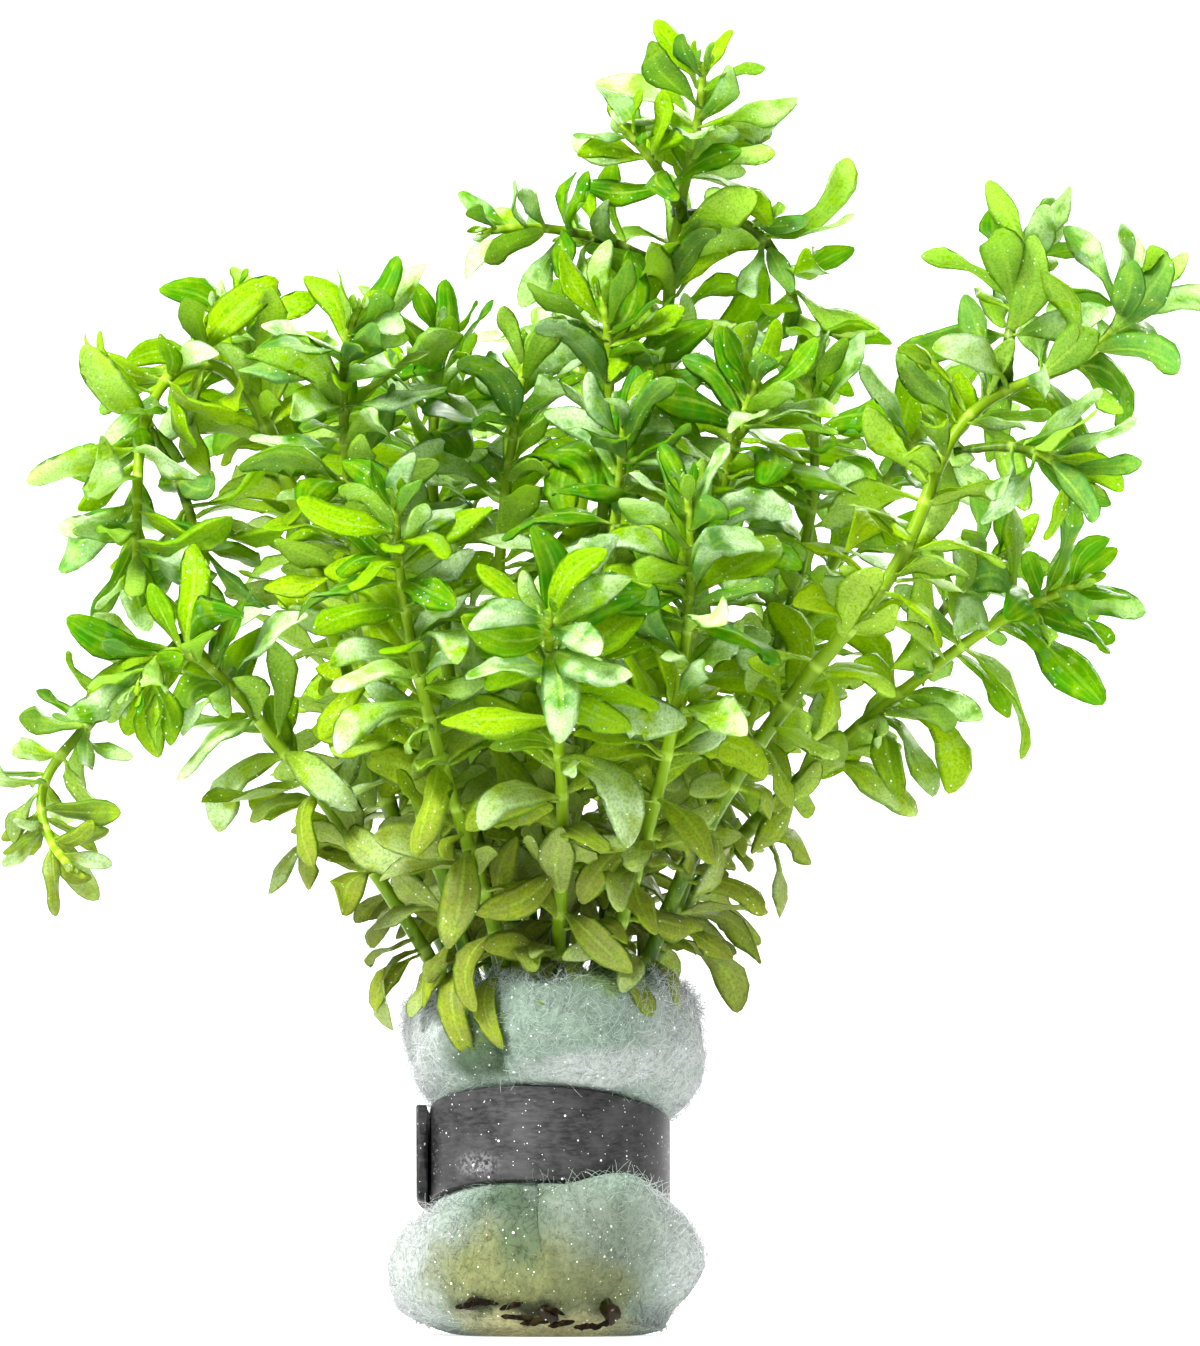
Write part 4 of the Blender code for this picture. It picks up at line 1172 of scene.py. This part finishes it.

# The soft balls are stains, painted shades and painted lights. Each: its colour, middle and reach
# in millimetres, and strength
WOOL_STAINS_AND_SHADING = [
    # duller and darker over the lower half of the front
    (WOOL_DULL, (0, -20, 11), (26, 16, 13), 0.6),
    (WOOL_OLIVE, (-6, -19, 8), (16, 14, 9.5), 1.0),
    (WOOL_OLIVE, (8, -18, 6), (9, 12, 6), 0.75),
    # painted shade under the strip's left half and in the valley beside the fold below it
    (WOOL_SHADE, (-8.5, -19, 19.8), (11, 8, 5.2), 1.0),
    (WOOL_SHADE, (-3, -19, 14), (5, 7, 9), 0.75),
    (WOOL_STRAW, (0, -15, 0.8), (17, 14, 4), 0.85),
    # painted light on the outer turn right of the fold, and painted shade in the creases left of it
    (WOOL_PAINTED_LIGHT, (8, -17, 35), (16, 9, 4.5), 0.65),
    (WOOL_SHADE, (-10, -17, 37), (6, 8, 5.5), 0.9),
    (WOOL_SHADE, (-7, -18, 40), (2.4, 8, 8), 0.95),
    (WOOL_GREEN, (7, -14, 47.5), (8, 9, 3.6), 0.9),
    (WOOL_GREEN, (-9, -17, 42), (4, 7, 6), 0.5),
    (WOOL_BROWN, (-9.5, -19, 4.2), (4.6, 6, 2.1), 0.9),
    (WOOL_BROWN, (-2, -20, 3.0), (5.6, 6, 2.2), 0.9),
    (WOOL_BROWN, (7.6, -19, 2.0), (3.0, 6, 1.4), 0.85),
]


def stained_and_shaded_wool(finish, base, whitest):
    """The wool's colour: its base, painted whiter towards the sides, with soft balls of stains,
    painted shade and painted light over it.
    """
    x = finish.add("ShaderNodeSeparateXYZ", {"Vector": finish.place}).outputs["X"]
    # painted light: the wool turns whiter towards its left and right sides, as light from behind
    # makes its edges look
    side = finish.step(finish.math("ABSOLUTE", x), 9 * MM, 19 * MM, 0.0, whitest)
    colour = finish.mix(side, base, WOOL_PAINTED_LIGHT)
    wander = finish.add("ShaderNodeTexNoise", {"Vector": finish.place, "Scale": 260.0,
                                               "Detail": 3.0}).outputs["Color"]
    moved = finish.add("ShaderNodeVectorMath",
                       {0: wander, 1: [WANDER * MM] * 3, 2: finish.place},
                       operation="MULTIPLY_ADD").outputs[0]
    # stains, painted shade and painted light, each laid on as a soft ball
    for ball_colour, middle, reach, strength in WOOL_STAINS_AND_SHADING:
        away = finish.away(moved, [m + WANDER / 2 for m in middle], reach)
        colour = finish.mix(finish.step(away, 1.0, 0.35, 0.0, strength), colour, ball_colour)
    return colour


def wool_finish():
    """Matt and soft, lit through, with white droplets as painted glints, painted shade in the fine
    hollows between the fibres and a little painted shade over the whole mat.
    """
    wool = Finish("wool")
    colour = stained_and_shaded_wool(wool, WOOL_MINT, 0.55)
    # painted shade in the fine hollows between the fibres
    gap_shade = wool.step(wool.noise(0.65, 4, 0.7), 0.36, 0.58, 0.45, 0.0)
    colour = wool.mix(gap_shade, colour, WOOL_SHADE)
    # droplets clinging to the wool, drawn as painted white glints
    droplet_glints = wool.math("MAXIMUM", wool.specks(1.1, 0.12), wool.specks(2.3, 0.22))
    # painted shade: the whole mat a little darker, as if shaded by its own fibres
    colour = wool.mix(0.22, colour, WOOL_SHADE)
    colour = wool.mix(wool.times(droplet_glints, 0.85), colour, BUBBLE_GLINT)
    wool.set(wool.shader, {"Base Color": colour, "Roughness": 0.9, "Specular IOR Level": 0.1,
                           "Normal": wool.bump(wool.noise(0.6, 4, 0.7), 0.35, 0.8)})
    wool.let_light_through(0.3, colour)
    return wool.material


def fibre_finish():
    """A fibre's own colour is paler than the mat's, and light passes through it."""
    fibre = Finish("fibre")
    colour = stained_and_shaded_wool(fibre, FIBRE_MINT, 1.0)
    fibre.set(fibre.shader, {"Base Color": colour, "Roughness": 0.6, "Specular IOR Level": 0.2})
    fibre.let_light_through(0.5, colour)
    return fibre.material


def grid_faces(columns, rows):
    """Quads of a grid whose columns and rows both close on themselves."""
    column, row = np.meshgrid(np.arange(columns), np.arange(rows), indexing="ij")
    beyond, above = (column + 1) % columns, (row + 1) % rows
    here, there = column * rows, beyond * rows
    return np.stack([here + row, there + row, there + above, here + above], -1).reshape(-1, 4)


wool = new_piece("wool_roll", wool_grid.reshape(-1, 3), [grid_faces(*wool_grid.shape[:2])], {},
                 [wool_finish()])
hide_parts("wool_wrap")
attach(wool, "root")
print("wool faces:", len(wool.data.polygons))

# %% [markdown]
# ## Loose fibres
#
# What makes wool look soft is its edge, where single fibres stand off the mat. Each one here is
# an arc of a circle that starts in the mat and lies over it. Its mesh is a tube with three sides
# and four rings, the least that still looks round when it is less than a tenth of a millimetre
# thick.

# %% Fibres
FIBRE_COUNT = 7000
FIBRE_RADIUS = 0.04 * MM
FIBRE_RINGS = 4
FIBRE_AROUND = np.arange(3) * math.tau / 3
FIBRE_PIECES = 3
# Each is drawn evenly between its two values
FIBRE_LENGTH, FIBRE_TURN, FIBRE_RISE, FIBRE_FLATTENED = (1.0, 3.9), (0.3, 2.0), (0.2, 2.2), (0.3, 1)
MORE_ON_RIM = 1.5


def grid_normals(grid):
    """Outward directions at a closed grid's points, from the differences of its neighbours."""
    along = np.roll(grid, -1, 0) - np.roll(grid, 1, 0)
    up = np.roll(grid, -1, 1) - np.roll(grid, 1, 1)
    return unit(np.cross(along, up) + 1e-12)


def fibre_roots(random, count):
    """Random points on the outside of the roll, and their outward directions."""
    normals = grid_normals(wool_grid)
    radius = np.hypot(wool_grid[..., 0], wool_grid[..., 1])
    beside = np.abs(wool_grid[..., 2] - band_z(wool_grid[..., 0], wool_grid[..., 1]))
    bare = (beside > STRIP_HEIGHT / 2) | (radius > STRIP_OUTSIDE + 0.3 * MM)
    free = bare & (radius > 13 * MM) & (wool_grid[..., 2] > 0.7 * MM)
    column, row = np.nonzero(free)
    often = 1 + MORE_ON_RIM * (wool_grid[column, row, 2] > 42 * MM)
    pick = random.choice(len(column), count, p=often / often.sum())
    return wool_grid[column[pick], row[pick]], normals[column[pick], row[pick]]


def fibre_arcs(random, count):
    """Rings of the fibres as an array (fibres, rings, sides, 3).

    A fibre sets out at a low angle to the surface and turns on a circle, first away from it and
    then back down. Its middle line is the length over the turn times the sine along its first
    direction and one less the cosine along its second.
    """
    root, out = fibre_roots(random, count)
    sideways = unit(np.cross(out, unit(random.normal(size=(count, 3)))))
    rise = random.uniform(*FIBRE_RISE, (count, 1)) * random.uniform(*FIBRE_FLATTENED, (count, 1))
    first = unit(sideways + rise * out)
    second = unit(np.cross(np.cross(first, -out + 0.5 * random.normal(size=(count, 3))), first))
    length = random.uniform(*FIBRE_LENGTH, (count, 1, 1)) * MM
    turn = random.uniform(*FIBRE_TURN, (count, 1, 1))
    share = np.linspace(0, 1, FIBRE_RINGS)[None, :, None]
    start = (root - 0.3 * MM * out)[:, None]
    middle = start + length / turn * (np.sin(turn * share) * first[:, None]
                                      + (1 - np.cos(turn * share)) * second[:, None])
    forward = np.cos(turn * share) * first[:, None] + np.sin(turn * share) * second[:, None]
    flat = np.broadcast_to(np.cross(first, second)[:, None], forward.shape)
    other = np.cross(forward, flat)
    thick = FIBRE_RADIUS * (1 - 0.5 * share)[..., None]
    cosine, sine = np.cos(FIBRE_AROUND)[:, None], np.sin(FIBRE_AROUND)[:, None]
    return middle[:, :, None] + thick * (cosine * flat[:, :, None] + sine * other[:, :, None])


def clear_fibres(arcs):
    """Only the fibres that stay off the strip and above the floor."""
    x, y, z = np.moveaxis(arcs, -1, 0)
    beside = np.abs(z - band_z(x, y)) - STRIP_HEIGHT / 2
    off_strip = (beside > 0.05 * MM) | (np.hypot(x, y) > STRIP_OUTSIDE + 0.1 * MM)
    return arcs[(off_strip & (z > 0.1 * MM)).all((1, 2))]


FIBRE = fibre_finish()
for number in range(1, FIBRE_PIECES + 1):
    arcs = clear_fibres(fibre_arcs(np.random.default_rng(number), FIBRE_COUNT))
    fibres = new_piece(f"wool_fibres_{number}", tube_points(arcs), tube_faces(*arcs.shape[:3]), {},
                       [FIBRE])
    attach(fibres, "root")
    print("fibres:", len(arcs))

# %% [markdown]
# ## Dead ends
#
# Old cut ends have turned black and stick to the front of the foot as ragged scraps. Each scrap
# is a short flat tube laid along the wool, its thickness and outline torn by a fine cloud.

# %% Scraps of dead stem
# Middle across and up, length and slope, in millimetres and degrees, along the front of the foot
SCRAPS = [(-10.8, 4.3, 3.4, 8), (-8.6, 4.7, 3.8, -6), (-5.0, 4.2, 3.2, 14), (-4.2, 2.7, 4.4, -4),
          (-1.6, 2.2, 4.6, 8), (0.6, 3.6, 3.0, -20), (1.6, 1.9, 3.6, 10), (5.0, 1.5, 3.6, 4),
          (7.4, 1.9, 3.4, 24)]
SCRAP_RINGS, SCRAP_SIDES = 14, 8
DEAD_BLACK = (0.003, 0.002, 0.001, 1)
DEAD_BROWN = (0.014, 0.010, 0.003, 1)


def scrap_rings(across, up, length, slope):
    """Rings of one scrap, laid round the wool's front at its height."""
    share = np.linspace(-1, 1, SCRAP_RINGS)[:, None]
    around = np.arange(SCRAP_SIDES) * math.tau / SCRAP_SIDES
    uneven = np.abs(cloud(share * [1.0, 2.0, 3.0], 0.4, across))[:, None]
    size = np.sqrt(1.02 - share**2) * (0.55 + 0.3 * uneven)
    x = across * MM + share * length / 2 * MM
    z = up * MM + share * length / 2 * MM * math.tan(math.radians(slope))
    torn = 1 + 0.55 * cloud(np.stack([x + 0 * around, z + 0 * around, around * MM + 0 * x], -1),
                            0.6 * MM)
    z = np.maximum(z + size * torn * 0.65 * MM * np.sin(around), 0.3 * MM)
    shell = np.interp(z, [0, 1.2 * MM, 5 * MM], [17.4 * MM, 19.2 * MM, 21.4 * MM])
    radius = shell + size * 0.5 * MM * np.cos(around)
    x = x + 0 * radius
    return np.stack([x, -np.sqrt(radius**2 - x**2), z], -1)


def dead_finish():
    """Nearly black, with browner patches, dull."""
    dead = Finish("dead stem")
    colour = dead.mix(dead.step(dead.noise(0.9, 3), 0.45, 0.65), DEAD_BLACK, DEAD_BROWN)
    dead.set(dead.shader, {"Base Color": colour, "Roughness": 0.9, "Specular IOR Level": 0.03,
                           "Normal": dead.bump(dead.noise(0.4, 3), 0.3, 0.8)})
    return dead.material


scraps = np.stack([scrap_rings(*row) for row in SCRAPS])
dead = new_piece("dead_ends", tube_points(scraps), tube_faces(*scraps.shape[:3]), {},
                 [dead_finish()])
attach(dead, "root")
print("scraps:", len(scraps))

# %% [markdown]
# ## The lead strip
#
# Lead this thin is cut from a sheet with shears and bent by hand. Its corners are rounded off,
# its edges are soft and its face carries shallow dents. It is a long flat tube: a rounded
# rectangle carried once round the wool and a little further, its outer end springing off.

# %% Lead strip
STRIP_THICKNESS = 1.5 * MM
STRIP_RADIUS = 15.3 * MM
STRIP_START, STRIP_SWEEP = math.radians(184), math.radians(369)
STRIP_LIFT = 2.1 * MM
STRIP_STATIONS = 260
STRIP_CORNER = 1.6 * MM
EDGE_ROUND = 0.35 * MM
DENTS, FINE_DENTS, MOST_OUTWARD, EDGE_WAVE = 0.10 * MM, 0.04 * MM, 0.03 * MM, 0.12 * MM


def rounded_rectangle(half_width, half_height, corner, each=6):
    """Points round a rectangle with quarter circles for corners, as (across, up)."""
    turn = np.linspace(0, math.pi / 2, each)
    points = []
    for quarter, (right, up) in enumerate(((1, 1), (-1, 1), (-1, -1), (1, -1))):
        angle = turn + quarter * math.pi / 2
        points.append(np.stack([right * (half_width - corner) + corner * np.cos(angle),
                                up * (half_height - corner) + corner * np.sin(angle)], -1))
    return np.concatenate(points)


def strip_rings():
    """Rings of the strip: the rounded section, lower near the ends by a quarter circle."""
    bent = 0.5 - 0.5 * np.cos(np.linspace(0, math.pi, STRIP_STATIONS))
    share = 0.35 * bent + 0.65 * np.linspace(0, 1, STRIP_STATIONS)
    angle = STRIP_START + share * STRIP_SWEEP
    middle = STRIP_RADIUS + STRIP_LIFT * np.maximum(0, (share - 0.8) / 0.2) ** 1.3
    from_end = np.minimum(share, 1 - share) * STRIP_SWEEP * STRIP_RADIUS
    left = np.maximum(0, STRIP_CORNER - from_end)
    lower = STRIP_CORNER - np.sqrt(STRIP_CORNER**2 - left**2)
    section = rounded_rectangle(STRIP_THICKNESS / 2, STRIP_HEIGHT / 2, EDGE_ROUND)
    height = section[:, 1] * (1 - lower[:, None] / (STRIP_HEIGHT / 2))
    radius = middle[:, None] + section[:, 0]
    x, y = radius * np.cos(angle)[:, None], radius * np.sin(angle)[:, None]
    points = np.stack([x, y, band_z(x, y) + height], -1)
    dent = DENTS * cloud(points, 7 * MM, 1.7) + FINE_DENTS * cloud(points, 2.5 * MM, 6.1)
    facing = np.stack([np.cos(angle), np.sin(angle)], -1)[:, None]
    outer_face = (section[:, 0] > 0)[:, None]
    points[..., :2] += np.minimum(dent, MOST_OUTWARD)[..., None] * facing * outer_face
    points[..., 2] += EDGE_WAVE * cloud(points, 5 * MM, 9.9)
    return points[None]


LEAD_DARK = (0.011, 0.011, 0.012, 1)
LEAD_PALE = (0.036, 0.035, 0.037, 1)
LEAD_DULL = (0.055, 0.055, 0.057, 1)
LEAD_BRIGHT = (0.17, 0.17, 0.175, 1)
LEAD_SPECK = (0.75, 0.76, 0.76, 1)
SCUFF_MIDDLE, SCUFF_REACH = (-9.66, -13.6, 22.88), (4.2, 8, 2.2)  # millimetres


def lead_finish():
    """Dull dark grey, with fine scratches along the strip, a scuff and white specks."""
    lead = Finish("lead")
    scratch = lead.noise(0.8, 4, 0.7, stretch=(0.5, 0.5, 1.6))
    colour = lead.mix(lead.step(scratch, 0.35, 0.7), LEAD_DARK, LEAD_PALE)
    blotch = lead.step(lead.noise(4.5, 3), 0.42, 0.66, 0.0, 0.45)
    colour = lead.mix(blotch, colour, LEAD_DULL)
    scuff = lead.step(lead.away(lead.place, SCUFF_MIDDLE, SCUFF_REACH), 1.0, 0.3)
    scuff = lead.times(scuff, lead.step(lead.noise(0.5, 3), 0.4, 0.6))
    colour = lead.mix(lead.times(scuff, 0.6), colour, LEAD_BRIGHT)
    specks = lead.math("MAXIMUM", lead.specks(0.8, 0.085), lead.specks(2.0, 0.19))
    colour = lead.mix(lead.times(specks, 0.75), colour, LEAD_SPECK)
    lead.set(lead.shader, {"Base Color": colour, "Metallic": 0.75, "Specular IOR Level": 0.3,
                           "Roughness": lead.step(scratch, 0.3, 0.7, 0.46, 0.62),
                           "Normal": lead.bump(scratch, 0.08, 0.5)})
    return lead.material


rings = strip_rings()
strip = new_piece("lead_band", tube_points(rings), tube_faces(*rings.shape[:3]), {},
                  [lead_finish()])
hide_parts("lead_strip")
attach(strip, "root")
print("strip faces:", len(strip.data.polygons))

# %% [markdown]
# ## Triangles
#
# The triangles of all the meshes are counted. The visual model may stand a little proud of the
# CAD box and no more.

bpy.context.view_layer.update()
meshes = [piece.data for piece in bpy.data.objects if piece.type == "MESH"]
print("triangles:", sum(len(mesh.loops) - 2 * len(mesh.polygons) for mesh in meshes))
